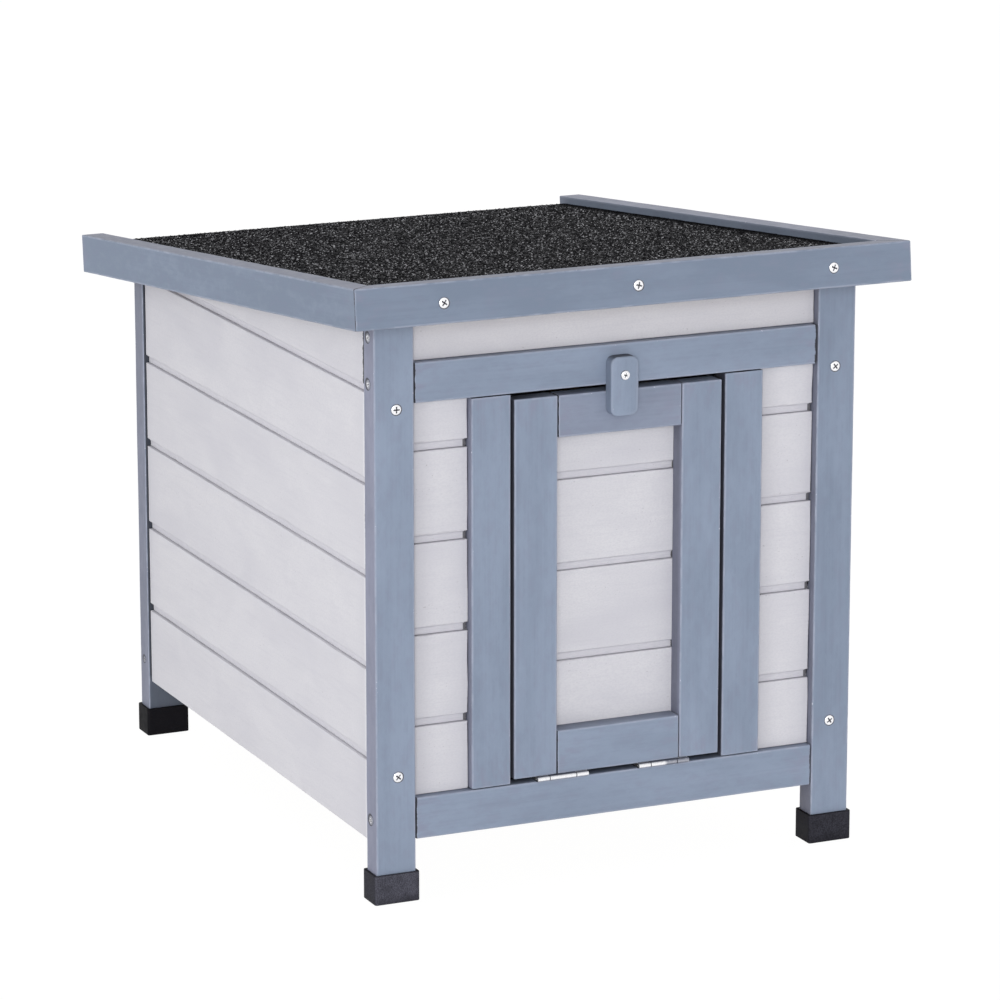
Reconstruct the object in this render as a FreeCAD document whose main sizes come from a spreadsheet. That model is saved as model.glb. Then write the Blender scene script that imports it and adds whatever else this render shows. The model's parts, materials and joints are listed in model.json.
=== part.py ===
import FreeCAD, Part
import os
import Sketcher

# Outdoor wooden cat house: a slatted box on four capped feet, with a drop-down door, a turn
# button that keeps the door shut, and a felted pent roof that lifts on two hinges at the back.
#
# Millimetres. +X is the house's right-hand side seen from the front, +Y points to its back,
# +Z is up. The origin is on the ground, in the middle of the whole outline.

doc = FreeCAD.newDocument("CatHouse")

# Driving sizes

SIZES = {
    # body
    "body_width": 440.0,
    "body_depth": 560.0,
    "post_width": 35.0,
    "post_thickness": 21.0,
    "joint_gap": 0.8,
    "edge_easing": 1.2,
    # foot caps
    "cap_wall": 2.5,
    "cap_floor": 3.0,
    "cap_height": 25.5,
    "cap_fit_gap": 0.2,
    "cap_rounding": 1.6,
    # rails and jambs
    "rail_setback": 0.5,
    "rail_thickness": 20.0,
    "lower_rail_bottom": 52.5,
    "lower_rail_height": 35.5,
    "upper_rail_height": 33.5,
    "top_board_height": 47.3,
    "jamb_width": 35.0,
    "door_opening": 197.0,
    # tongued boards
    "board_thickness": 12.0,
    "board_recess": 8.0,
    "side_board_inset": 2.5,
    "board_end_gap": 0.3,
    "seam_gap": 0.3,
    "band_height": 6.6,
    "band_depth": 3.0,
    "band_chamfer": 1.0,
    "tongue_thickness": 3.0,
    "tongue_length": 5.0,
    "tongue_gap": 0.3,
    "front_first_seam": 146.4,
    "side_board_bottom": 51.6,
    "side_lowest_board": 67.7,
    "side_top_board_rear": 16.1,
    "side_board_count": 6,
    "door_board_count": 4,
    "smallest_top_board": 12.0,
    # battens and floor
    "batten_thickness": 20.0,
    "batten_width": 35.0,
    "floor_height": 75.0,
    "floor_thickness": 9.0,
    "floor_gap": 0.4,
    "bearer_size": 20.0,
    # roof
    "roof_height": 529.0,
    "roof_slope_deg": 6.0,
    "front_overhang": 36.0,
    "rear_overhang": 50.4,
    "side_overhang": 31.5,
    "fascia_height": 34.0,
    "fascia_thickness": 21.0,
    "mitre_gap": 0.6,
    "felt_lip": 6.5,
    "felt_thickness": 3.0,
    "deck_thickness": 12.0,
    "deck_setback": 10.0,
    "deck_gap": 0.3,
    "roof_seat_gap": 0.3,
    # door
    "door_side_gap": 3.5,
    "door_bottom_gap": 4.5,
    "door_top_gap": 5.5,
    "door_thickness": 17.0,
    "door_left_stile": 39.0,
    "door_right_stile": 36.6,
    "door_top_rail": 35.5,
    "door_bottom_rail": 37.3,
    "door_board_overlap": 27.0,
    "door_board_bottom": 110.0,
    "door_first_seam": 184.9,
    # hinges
    "hinge_length": 47.0,
    "hinge_reach": 17.0,
    "hinge_middle": 24.0,
    "knuckle_radius": 2.2,
    "knuckle_gap": 0.3,
    "roof_hinge_gap": 5.2,
    "leaf_thickness": 1.0,
    "pin_radius": 1.1,
    "pin_gap": 0.05,
    "axis_proud": 1.0,
    "left_hinge_place": 51.0,
    "right_hinge_place": 43.0,
    "lid_hinge_place": 120.0,
    # turn button
    "button_width": 25.0,
    "button_length": 50.0,
    "button_thickness": 11.0,
    "button_rounding": 6.0,
    "button_easing": 1.2,
    "button_gap": 0.2,
    "button_pivot_rise": 9.0,
    "button_pivot_drop": 15.5,
    # screws
    "screw_head_radius": 4.3,
    "screw_head_height": 2.2,
    "screw_head_rim": 1.0,
    "screw_head_bevel": 1.9,
    "screw_cross_width": 1.2,
    "screw_cross_depth": 1.5,
    "screw_radius": 1.9,
    "face_screw_length": 38.0,
    "side_screw_length": 55.0,
    "button_head_radius": 3.4,
    "button_head_height": 1.8,
    "button_head_rim": 0.8,
    "button_head_bevel": 1.5,
    "button_cross_width": 1.0,
    "button_cross_depth": 1.2,
    "button_screw_length": 28.0,
    "hinge_head_radius": 2.5,
    "hinge_head_height": 0.9,
    "hinge_head_rim": 0.4,
    "hinge_head_bevel": 1.0,
    "hinge_cross_width": 0.7,
    "hinge_cross_depth": 0.5,
    "hinge_screw_radius": 1.3,
    "hinge_screw_length": 12.0,
    "cross_margin": 0.2,
    "hole_gap": 0.05,
    "face_screw_inset": 19.0,
    "lower_face_screw": 108.5,
    "upper_face_screw_drop": 3.5,
    "rear_face_screw_drop": 26.0,
    "side_screw_line": 11.0,
    "top_board_screw_rise": 22.0,
    "rear_side_screw_rise": 25.0,
    "fascia_screw_left": 175.0,
    "fascia_screw_middle": -2.0,
    "fascia_screw_right": 178.0,
    "fascia_screw_drop": 17.0,
    "hinge_screw_place": 12.0,
    "hinge_screw_reach": 9.5,
}

sheet = doc.addObject("Spreadsheet::Sheet", "Sizes")
for row, (alias, value) in enumerate(SIZES.items(), start=1):
    sheet.set(f"A{row}", str(value))
    sheet.setAlias(f"A{row}", alias)
doc.recompute()

PARTS = []


def size(alias):
    """The sheet cell of a size, for use inside an expression."""
    return f"Sizes.{alias}"


def put(text):
    """An expression in which each $name stands for a cell of the sheet."""
    return text.replace("$", "Sizes.")


# Lines that several pieces share

HALF = put("($body_width / 2)")
INNER = put("($body_width / 2 - $post_width)")
ROOF_SPAN = put("($front_overhang + $body_depth + $rear_overhang)")
ROOF_LENGTH = put(f"({ROOF_SPAN} / cos($roof_slope_deg))")
FRONT = put(f"($front_overhang + ($fascia_height * sin($roof_slope_deg) - {ROOF_SPAN}) / 2)")
DECK_UNDER = put("($felt_lip + $felt_thickness + $deck_thickness)")


def wall_top(along, drop="0"):
    """Height of the plane that carries the roof, at a distance behind the front, less a drop."""
    stack = f"({DECK_UNDER} + {size('roof_seat_gap')} + {drop})"
    return put(f"($roof_height - {stack} / cos($roof_slope_deg)"
               f" - ({along} + $front_overhang) * tan($roof_slope_deg))")


def roof_point(along, lift):
    """Y and Z of a point given along the roof's slope and square to it, from its front edge."""
    y = put(f"(({along}) * cos($roof_slope_deg) + ({lift}) * sin($roof_slope_deg) - $front_overhang)")
    z = put(f"($roof_height - ({along}) * sin($roof_slope_deg) + ({lift}) * cos($roof_slope_deg))")
    return y, z


RAIL_TOP = put("($lower_rail_bottom + $lower_rail_height)")
LINTEL_TOP = f"({wall_top('0')} - {size('top_board_height')})"
LINTEL_BOTTOM = f"({LINTEL_TOP} - {size('upper_rail_height')})"
RAIL_LENGTH = put("($body_width - 2 * $post_width - 2 * $joint_gap)")
JAMB_INNER = put("($door_opening / 2)")
JAMB_OUTER = put("($door_opening / 2 + $jamb_width)")
SIDE_FACE = put("($body_width / 2 - $side_board_inset)")
SIDE_BACK = put("($body_width / 2 - $side_board_inset - $board_thickness)")
BATTEN_START = put("($post_thickness + $joint_gap)")
BATTEN_INNER = f"({SIDE_BACK} - {size('batten_thickness')})"
SIDE_START = put("($post_thickness + $board_end_gap)")
SIDE_LENGTH = put("($body_depth - 2 * $post_thickness - 2 * $board_end_gap)")
ROOF_HALF = put("($body_width / 2 + $side_overhang)")
DECK_HALF = put("($body_width / 2 + $side_overhang - $fascia_thickness - $deck_gap)")
DECK_START = put("($fascia_thickness + $deck_gap)")
DECK_LENGTH = put(f"({ROOF_LENGTH} - $deck_setback - $fascia_thickness - $deck_gap)")
BARREL = put("($door_bottom_gap / 2)")
DOOR_HALF = put("($door_opening / 2 - $door_side_gap)")
DOOR_BOTTOM = put("($lower_rail_bottom + $lower_rail_height + $door_bottom_gap)")
DOOR_TOP = f"({LINTEL_BOTTOM} - {size('door_top_gap')})"
DOOR_BACK = put("($rail_setback + $door_thickness)")
DOOR_INNER = {side: f"({DOOR_HALF} - {size('door_' + side + '_stile')})" for side in ("left", "right")}
HINGE_HEIGHT = f"({RAIL_TOP} + {BARREL})"
HINGE_LINE = put("($rail_setback - $axis_proud)")
HOLE = put("($screw_radius + $hole_gap)")
HINGE_HOLE = put("($hinge_screw_radius + $hole_gap)")
REAR_RAIL_TOP = wall_top(put("($body_depth - $rail_setback)"), put("($roof_hinge_gap - $roof_seat_gap)"))
REAR_RAIL_BOTTOM = f"({REAR_RAIL_TOP} - {size('upper_rail_height')})"
PIVOT_HEIGHT = f"({LINTEL_BOTTOM} + {size('button_pivot_rise')})"
LOWER_SCREW = put("($lower_rail_bottom + $lower_rail_height / 2)")
UPPER_SCREW = f"({LINTEL_BOTTOM} + {size('upper_rail_height')} / 2)"
TOP_BOARD_SCREW = f"({LINTEL_TOP} + {size('top_board_screw_rise')})"
REAR_SCREW = f"({REAR_RAIL_BOTTOM} + {size('rear_side_screw_rise')})"
FACE_SCREWS = {"front": [size("lower_face_screw"), f"({LINTEL_BOTTOM} - {size('upper_face_screw_drop')})"],
               "rear": [size("lower_face_screw"), f"({REAR_RAIL_BOTTOM} - {size('rear_face_screw_drop')})"]}
SIDE_SCREWS = {"front": [LOWER_SCREW, UPPER_SCREW, TOP_BOARD_SCREW], "rear": [LOWER_SCREW, REAR_SCREW]}

# The boards of all the walls cover the same height, so that whole boards fill a side wall
# between its lowest board and what is left of its top board at the back.
SIDE_REAR = put("($body_depth - $post_thickness)")
SIDE_FIRST_SEAM = put("($side_board_bottom + $side_lowest_board)")
BOARD_COVER = put(f"(({wall_top(SIDE_REAR)} - $side_top_board_rear - {SIDE_FIRST_SEAM})"
                  " / ($side_board_count - 2))")

LID_BARREL = put("($roof_hinge_gap / 2)")
LID_AXIS_LIFT = f"(-1 * ({DECK_UNDER} + {LID_BARREL}))"
LID_AXIS_ALONG = put(f"(($body_depth - $rail_setback + $axis_proud + $front_overhang"
                     f" - {LID_AXIS_LIFT} * sin($roof_slope_deg)) / cos($roof_slope_deg))")
LID_AXIS_Y, LID_AXIS_Z = roof_point(LID_AXIS_ALONG, LID_AXIS_LIFT)
LID_SCREW_ALONG = f"({LID_AXIS_ALONG} - {size('hinge_screw_reach')})"
TILT = put("(-1 * $roof_slope_deg)")
LID_HINGES = [("left", put("(-1 * $lid_hinge_place)")), ("right", size("lid_hinge_place"))]
LID_SCREWS = [f"({middle} + {sign} * {size('hinge_screw_place')})"
              for _, middle in LID_HINGES for sign in ("-1", "1")]

# Drawing helpers

def place(thing, x, y, z, axis=(1, 0, 0), angle="0"):
    """Set a placement in the house's frame, where y = 0 is the front of the front posts."""
    thing.Placement = FreeCAD.Placement(FreeCAD.Vector(), FreeCAD.Rotation(FreeCAD.Vector(*axis), 1))
    thing.setExpression("Placement.Base.x", x)
    thing.setExpression("Placement.Base.y", f"{FRONT} + ({y})")
    thing.setExpression("Placement.Base.z", z)
    thing.setExpression("Placement.Rotation.Angle", angle)


def new_body(name, label=None):
    body = doc.addObject("PartDesign::Body", name)
    body.Label = label or name
    return body


def new_sketch(body, plane, name, offset=None):
    """A sketch on one of the body's own origin planes, moved along its normal by the offset."""
    sketch = body.newObject("Sketcher::SketchObject", name)
    support = [f for f in body.Origin.OriginFeatures if f.Role == plane + "_Plane"][0]
    sketch.AttachmentSupport = [(support, "")]
    sketch.MapMode = "FlatFace"
    if offset is not None:
        sketch.setExpression("AttachmentOffset.Base.z", offset)
    return sketch


def bind(sketch, kind, geometry, point, value):
    """Bind one coordinate of a sketch point to an expression."""
    index = sketch.addConstraint(Sketcher.Constraint(kind, -1, 1, geometry, point, 0.0))
    sketch.setExpression(f"Constraints[{index}]", value)


def number(text):
    """Today's value of an expression, used only to start a sketch near its solution."""
    return float(sheet.evalExpression(text))


def outline(sketch, points):
    """A closed outline whose corners are given as pairs of expressions."""
    values = [(number(x), number(y)) for x, y in points]
    count = len(points)
    for i in range(count):
        start, end = values[i], values[(i + 1) % count]
        line = Part.LineSegment(FreeCAD.Vector(*start, 0), FreeCAD.Vector(*end, 0))
        sketch.addGeometry(line, False)
    for i in range(count):
        sketch.addConstraint(Sketcher.Constraint("Coincident", i, 2, (i + 1) % count, 1))
    for i, (x, y) in enumerate(points):
        bind(sketch, "DistanceX", i, 1, x)
        bind(sketch, "DistanceY", i, 1, y)


def circles(sketch, centres, radius):
    """Circles of one radius about centres that are given as pairs of expressions."""
    for i, (x, y) in enumerate(centres):
        middle = FreeCAD.Vector(number(x), number(y), 0)
        sketch.addGeometry(Part.Circle(middle, FreeCAD.Vector(0, 0, 1), number(radius)), False)
        index = sketch.addConstraint(Sketcher.Constraint("Radius", i, number(radius)))
        sketch.setExpression(f"Constraints[{index}]", radius)
        bind(sketch, "DistanceX", i, 3, x)
        bind(sketch, "DistanceY", i, 3, y)


def pad(body, sketch, length, reverse=False):
    feature = body.newObject("PartDesign::Pad", sketch.Name + "_pad")
    feature.Profile = sketch
    feature.setExpression("Length", length)
    feature.Reversed = reverse
    return feature


def cut(body, sketch, length, reverse=False):
    """Cut the sketch away over a length, against the plane's normal unless it is reversed."""
    feature = body.newObject("PartDesign::Pocket", sketch.Name + "_cut")
    feature.Profile = sketch
    feature.setExpression("Length", length)
    feature.Reversed = reverse
    return feature


def box(width, depth):
    return [("0", "0"), (width, "0"), (width, depth), ("0", depth)]


def edges_along(shape, test):
    """Names of a shape's straight edges that pass a test on their two ends."""
    names = []
    for i, edge in enumerate(shape.Edges, start=1):
        if len(edge.Vertexes) == 2 and test(edge.Vertexes[0].Point, edge.Vertexes[1].Point):
            names.append(f"Edge{i}")
    return names


def round_edges(body, name, radius, test):
    doc.recompute()
    base = body.Tip
    feature = body.newObject("PartDesign::Fillet", name)
    feature.Base = (base, edges_along(base.Shape, test))
    feature.setExpression("Radius", radius)


def ease(body, axis):
    """Take the sharpness off all the edges that run along one axis."""
    across = [a for a in "xyz" if a != axis]
    round_edges(body, body.Name + "_easing", size("edge_easing"),
                lambda p, q: all(abs(getattr(p, a) - getattr(q, a)) < 0.001 for a in across))


def prism(name, plane, points, length, eased=None):
    """A piece of one section: YZ sections run to the right, XZ to the back and XY upwards."""
    body = new_body(name)
    sketch = new_sketch(body, plane, name + "_section")
    outline(sketch, points)
    pad(body, sketch, length, reverse=plane == "XZ")
    if eased:
        ease(body, eased)
    return body


def drill(body, tag, plane, centres, radius, depth, offset=None, reverse=False):
    """Round holes, drilled square to a plane and against its normal unless it is reversed."""
    sketch = new_sketch(body, plane, f"{body.Name}_{tag}", offset)
    circles(sketch, centres, radius)
    cut(body, sketch, depth, reverse)


def keep(thing, label=None):
    """Put a finished piece on the list of sub-parts that are written out."""
    if label:
        thing.Label = label
    PARTS.append(thing)
    return thing


def copy_of(source, name, x, y, z, axis=(1, 0, 0), angle="0"):
    link = doc.addObject("App::Link", name)
    link.LinkedObject = source
    place(link, x, y, z, axis, angle)
    return link


def group(name, members):
    """Separate solids of one kind, kept together as one sub-part."""
    thing = doc.addObject("Part::Compound", name)
    thing.Label = name
    thing.Links = members
    return keep(thing)


def mirrored(side, value):
    """The value on the house's right, or its opposite on the left."""
    return f"(-1 * {value})" if side == "left" else value


def span_start(side, low, high):
    """Left-hand edge of a stretch that lies between two distances from the middle."""
    return f"(-1 * {high})" if side == "left" else low


# Tongued boards

TONGUE_FRONT = put("(($band_depth + $board_thickness - $tongue_thickness) / 2)")
TONGUE_BACK = put("(($band_depth + $board_thickness + $tongue_thickness) / 2)")


def board_section(height, banded, tongued, sign="1"):
    """Section of a board: depth behind its face, and height above its lower seam.

    A banded board has the set-back band and the groove along its lower edge, and a tongued
    one has a tongue along its upper edge.
    """
    thick = size("board_thickness")
    seam = size("seam_gap")
    if banded:
        points = [(size("band_depth"), seam), (size("band_depth"), size("band_height")),
                  (size("band_chamfer"), size("band_height")),
                  ("0", put("$band_height + $band_chamfer"))]
    else:
        points = [("0", "0")]
    points.append(("0", height))
    if tongued:
        peak = put(f"{height} + $tongue_length")
        points += [(TONGUE_FRONT, height), (TONGUE_FRONT, peak),
                   (TONGUE_BACK, peak), (TONGUE_BACK, height)]
    points.append((thick, height))
    if banded:
        deep = put("$tongue_length + $tongue_gap + $seam_gap")
        points += [(thick, seam), (put(f"{TONGUE_BACK} + $tongue_gap"), seam),
                   (put(f"{TONGUE_BACK} + $tongue_gap"), deep),
                   (put(f"{TONGUE_FRONT} - $tongue_gap"), deep),
                   (put(f"{TONGUE_FRONT} - $tongue_gap"), seam)]
    else:
        points.append((thick, "0"))
    return [(f"{sign} * ({depth})", level) for depth, level in points]


def board_stack(bottom, first_seam, top, count=None):
    """Rows of boards from the bottom up: start, height, banded, tongued, as expressions.

    Without a count there are as many rows as leave a top board of a fair height.
    """
    room = number(top) - number(first_seam) - SIZES["smallest_top_board"]
    full = count - 2 if count else max(int(room // number(BOARD_COVER)), 0)
    rows = [(bottom, f"({first_seam} - {bottom})", False, True)]
    for i in range(full):
        rows.append((f"({first_seam} + {i} * {BOARD_COVER})", BOARD_COVER, True, True))
    last = f"({first_seam} + {full} * {BOARD_COVER})"
    rows.append((last, f"({top} - {last})", True, False))
    return rows


def board(name, plane, row, length, sign="1"):
    start, height, banded, tongued = row
    return prism(name, plane, board_section(height, banded, tongued, sign), length)


# Posts and foot caps

def make_post(end, side):
    """A post, cut at the top to the roof's slope, with holes for the screws that hold it."""
    low = "0" if end == "front" else put("($body_depth - $post_thickness)")
    near = wall_top(low)
    far = wall_top(f"({low} + {size('post_thickness')})")
    foot = size("cap_floor")
    section = [("0", "0"), (size("post_thickness"), "0"),
               (size("post_thickness"), f"{far} - {foot}"), ("0", f"{near} - {foot}")]
    body = prism(f"{end}_{side}_post", "YZ", section, size("post_width"), "z")
    across = size("face_screw_inset")
    if side == "right":
        across = put("($post_width - $face_screw_inset)")
    drill(body, "face_holes", "XZ", [(across, f"{level} - {foot}") for level in FACE_SCREWS[end]], HOLE,
          size("post_thickness"))
    line = size("side_screw_line")
    if end == "rear":
        line = put("($post_thickness - $side_screw_line)")
    drill(body, "side_holes", "YZ", [(line, f"{level} - {foot}") for level in SIDE_SCREWS[end]], HOLE,
          size("post_width"), reverse=True)
    place(body, span_start(side, INNER, HALF), low, foot)
    return keep(body)


for side in ("left", "right"):
    make_post("front", side)
    make_post("rear", side)


def make_cap(end, side):
    """A push-on cap: an open box with rounded corners, and a floor that the post stands on."""
    name = f"{end}_{side}_foot_cap"
    shell = put("($cap_wall + $cap_fit_gap)")
    width = put("($post_width + 2 * $cap_wall + 2 * $cap_fit_gap)")
    depth = put("($post_thickness + 2 * $cap_wall + 2 * $cap_fit_gap)")
    body = prism(name, "XY", box(width, depth), size("cap_height"))
    round_edges(body, name + "_upright_rounding", size("cap_rounding"),
                lambda p, q: abs(p.z - q.z) > 1)
    round_edges(body, name + "_foot_rounding", put("($cap_rounding / 2)"),
                lambda p, q: max(p.z, q.z) < 0.01)
    hollow = new_sketch(body, "XY", name + "_hollow", size("cap_height"))
    wall = size("cap_wall")
    far_x = put("($post_width + $cap_wall + 2 * $cap_fit_gap)")
    far_y = put("($post_thickness + $cap_wall + 2 * $cap_fit_gap)")
    outline(hollow, [(wall, wall), (far_x, wall), (far_x, far_y), (wall, far_y)])
    cut(body, hollow, put("($cap_height - $cap_floor)"))
    low = "0" if end == "front" else put("($body_depth - $post_thickness)")
    place(body, f"{span_start(side, INNER, HALF)} - {shell}", f"{low} - {shell}", "0")
    return keep(body)


for side in ("left", "right"):
    make_cap("front", side)
    make_cap("rear", side)

# Front wall

RAIL_START = put("(-1 * $body_width / 2 + $post_width + $joint_gap)")
RAIL_GRIP = put("($side_screw_length - $post_width)")
HINGES = [("left", put("(-1 * $left_hinge_place)")), ("right", size("right_hinge_place"))]
HINGE_SCREWS = [f"({middle} + {sign} * {size('hinge_screw_place')})"
                for _, middle in HINGES for sign in ("-1", "1")]
SCREW_LINE = f"({HINGE_LINE} + {size('hinge_screw_reach')})"


def end_holes(body, line, level):
    """Pilot holes in both ends of a rail, on the line of the screws through the posts."""
    drill(body, "left_hole", "YZ", [(line, level)], HOLE, RAIL_GRIP, reverse=True)
    drill(body, "right_hole", "YZ", [(line, level)], HOLE, RAIL_GRIP, offset=RAIL_LENGTH)


rail_line = put("($side_screw_line - $rail_setback)")

rail = prism("front_lower_rail", "YZ", box(size("rail_thickness"), size("lower_rail_height")),
             RAIL_LENGTH, "x")
end_holes(rail, rail_line, put("($lower_rail_height / 2)"))
drill(rail, "hinge_holes", "XY",
      [(f"{x} - {RAIL_START}", f"{SCREW_LINE} - {size('rail_setback')}") for x in HINGE_SCREWS],
      HINGE_HOLE, size("hinge_screw_length"), offset=size("lower_rail_height"))
place(rail, RAIL_START, size("rail_setback"), size("lower_rail_bottom"))
keep(rail)

rail = prism("front_upper_rail", "YZ", box(size("rail_thickness"), size("upper_rail_height")),
             RAIL_LENGTH, "x")
end_holes(rail, rail_line, put("($upper_rail_height / 2)"))
drill(rail, "button_hole", "XZ",
      [(f"(-1 * {RAIL_START})", size("button_pivot_rise"))], HOLE,
      put("($button_screw_length - $button_thickness)"))
place(rail, RAIL_START, size("rail_setback"), LINTEL_BOTTOM)
keep(rail)

for side in ("left", "right"):
    height = f"({LINTEL_BOTTOM} - {RAIL_TOP} - 2 * {size('joint_gap')})"
    jamb = prism(f"front_{side}_jamb", "XY", box(size("jamb_width"), size("rail_thickness")), height, "z")
    place(jamb, span_start(side, JAMB_INNER, JAMB_OUTER), size("rail_setback"),
          f"{RAIL_TOP} + {size('joint_gap')}")
    keep(jamb)

BAY_WIDTH = put(f"({INNER} - {JAMB_OUTER} - 2 * $board_end_gap)")
bay_rows = board_stack(f"({RAIL_TOP} + {size('seam_gap')})", size("front_first_seam"),
                       f"({LINTEL_BOTTOM} - {size('seam_gap')})")
for side in ("left", "right"):
    members = []
    for i, row in enumerate(bay_rows, start=1):
        piece = board(f"{side}_bay_board_{i}", "YZ", row, BAY_WIDTH)
        start = f"({span_start(side, JAMB_OUTER, INNER)} + {size('board_end_gap')})"
        place(piece, start, size("board_recess"), row[0])
        members.append(piece)
    group(f"front_{side}_bay_boards", members)

gap = size("board_end_gap")
head_bottom = f"({LINTEL_TOP} + {size('seam_gap')})"
head_face = f"({wall_top(size('board_recess'))} - {head_bottom})"
head_back = f"({wall_top(put('($board_recess + $board_thickness)'))} - {head_bottom})"
head = prism("front_top_board", "YZ",
             [("0", "0"), (size("board_thickness"), "0"), (size("board_thickness"), head_back),
              ("0", head_face)],
             put("($body_width - 2 * $post_width - 2 * $board_end_gap)"), "x")
head_line = put("($side_screw_line - $board_recess)")
head_level = f"({TOP_BOARD_SCREW} - {head_bottom})"
drill(head, "left_hole", "YZ", [(head_line, head_level)], HOLE, RAIL_GRIP, reverse=True)
drill(head, "right_hole", "YZ", [(head_line, head_level)], HOLE, RAIL_GRIP,
      offset=put("($body_width - 2 * $post_width - 2 * $board_end_gap)"))
place(head, f"(-1 * {INNER} + {gap})", size("board_recess"), head_bottom)
keep(head)

# Side walls

side_top = wall_top(SIDE_REAR)
side_front_top = wall_top(size("post_thickness"))
side_rows = board_stack(size("side_board_bottom"), SIDE_FIRST_SEAM, side_top,
                        SIZES["side_board_count"])
side_rows[-1] = (side_rows[-1][0], f"({side_front_top} - {side_rows[-1][0]})", True, False)


def slope_cut(body, bottom):
    """Cut a side board along the plane that the roof lies on."""
    sketch = new_sketch(body, "YZ", body.Name + "_slope", size("body_width"))
    near = f"({wall_top('0')} - {bottom})"
    far = f"({wall_top(size('body_depth'))} - {bottom})"
    back = put("($body_depth - $post_thickness)")
    start = put("(-1 * $post_thickness)")
    high = size("roof_height")
    outline(sketch, [(start, near), (back, far), (back, high), (start, high)])
    cut(body, sketch, put("(2 * $body_width)"))


for side in ("left", "right"):
    sign = "1" if side == "left" else "-1"
    for i, row in enumerate(side_rows, start=1):
        piece = board(f"{side}_side_board_{i}", "XZ", row, SIDE_LENGTH, sign)
        if number(row[0]) + number(row[1]) + SIZES["tongue_length"] > number(side_top):
            slope_cut(piece, row[0])
        place(piece, mirrored(side, SIDE_FACE), SIDE_START, row[0])
        keep(piece)

for side in ("left", "right"):
    members = []
    for end in ("front", "rear"):
        low = BATTEN_START
        if end == "rear":
            low = put(f"($body_depth - {BATTEN_START} - $batten_width)")
        bottom = size("side_board_bottom")
        section = [("0", "0"), (size("batten_width"), "0"),
                   (size("batten_width"), f"{wall_top(low + ' + ' + size('batten_width'))} - {bottom}"),
                   ("0", f"{wall_top(low)} - {bottom}")]
        batten = prism(f"{side}_{end}_batten", "YZ", section, size("batten_thickness"))
        across = f"({HALF} - {size('face_screw_inset')} - {BATTEN_INNER})"
        if side == "left":
            across = f"({size('batten_thickness')} - {across})"
        grip = put("($face_screw_length - $post_thickness - $joint_gap)")
        centres = [(across, f"{level} - {bottom}") for level in FACE_SCREWS[end]]
        if end == "front":
            drill(batten, "holes", "XZ", centres, HOLE, grip)
        else:
            drill(batten, "holes", "XZ", centres, HOLE, grip, offset=put("(-1 * $batten_width)"),
                  reverse=True)
        place(batten, span_start(side, BATTEN_INNER, SIDE_BACK), low, bottom)
        members.append(batten)
    group(f"{side}_side_battens", members)

# Rear wall

rear_line = put("($rail_thickness + $rail_setback - $side_screw_line)")
rail = prism("rear_lower_rail", "YZ", box(size("rail_thickness"), size("lower_rail_height")),
             RAIL_LENGTH, "x")
end_holes(rail, rear_line, put("($lower_rail_height / 2)"))
REAR_RAIL_START = put("($body_depth - $rail_setback - $rail_thickness)")
place(rail, RAIL_START, REAR_RAIL_START, size("lower_rail_bottom"))
keep(rail)

# Its top is bevelled to the roof's slope, with room above it for the folded hinges.
rear_front_top = wall_top(REAR_RAIL_START, put("($roof_hinge_gap - $roof_seat_gap)"))
rail = prism("rear_upper_rail", "YZ",
             [("0", "0"), (size("rail_thickness"), "0"),
              (size("rail_thickness"), size("upper_rail_height")),
              ("0", f"{rear_front_top} - {REAR_RAIL_BOTTOM}")], RAIL_LENGTH, "x")
end_holes(rail, rear_line, size("rear_side_screw_rise"))
hole_y, hole_z = roof_point(LID_SCREW_ALONG, f"({LID_AXIS_LIFT} - {LID_BARREL} + {size('leaf_thickness')})")
holes = new_sketch(rail, "XY", "rear_upper_rail_hinge_holes", f"{hole_z} - {REAR_RAIL_BOTTOM}")
holes.setExpression("AttachmentOffset.Base.y", f"{hole_y} - {REAR_RAIL_START}")
holes.AttachmentOffset.Rotation.Axis = FreeCAD.Vector(1, 0, 0)
holes.setExpression("AttachmentOffset.Rotation.Angle", TILT)
circles(holes, [(f"{x} - {RAIL_START}", "0") for x in LID_SCREWS], HINGE_HOLE)
cut(rail, holes, size("hinge_screw_length"))
place(rail, RAIL_START, REAR_RAIL_START, REAR_RAIL_BOTTOM)
keep(rail)

rear_rows = board_stack(f"({RAIL_TOP} + {size('seam_gap')})", size("front_first_seam"),
                        f"({REAR_RAIL_BOTTOM} - {size('seam_gap')})")
members = []
for i, row in enumerate(rear_rows, start=1):
    piece = board(f"rear_board_{i}", "YZ", row, put("($body_width - 2 * $post_width - 2 * $board_end_gap)"),
                  "-1")
    place(piece, f"(-1 * {INNER} + {gap})", put("($body_depth - $board_recess)"), row[0])
    members.append(piece)
group("rear_boards", members)

# Floor

members = []
BEARER_START = f"({BATTEN_START} + {size('batten_width')} + {size('joint_gap')})"
for side in ("left", "right"):
    bearer = prism(f"{side}_bearer", "XY", box(size("bearer_size"),
                   f"({size('body_depth')} - 2 * {BEARER_START})"), size("bearer_size"))
    inner = f"({SIDE_BACK} - {size('bearer_size')})"
    place(bearer, span_start(side, inner, SIDE_BACK), BEARER_START,
          put("($floor_height - $bearer_size)"))
    members.append(bearer)
group("floor_bearers", members)

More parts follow.
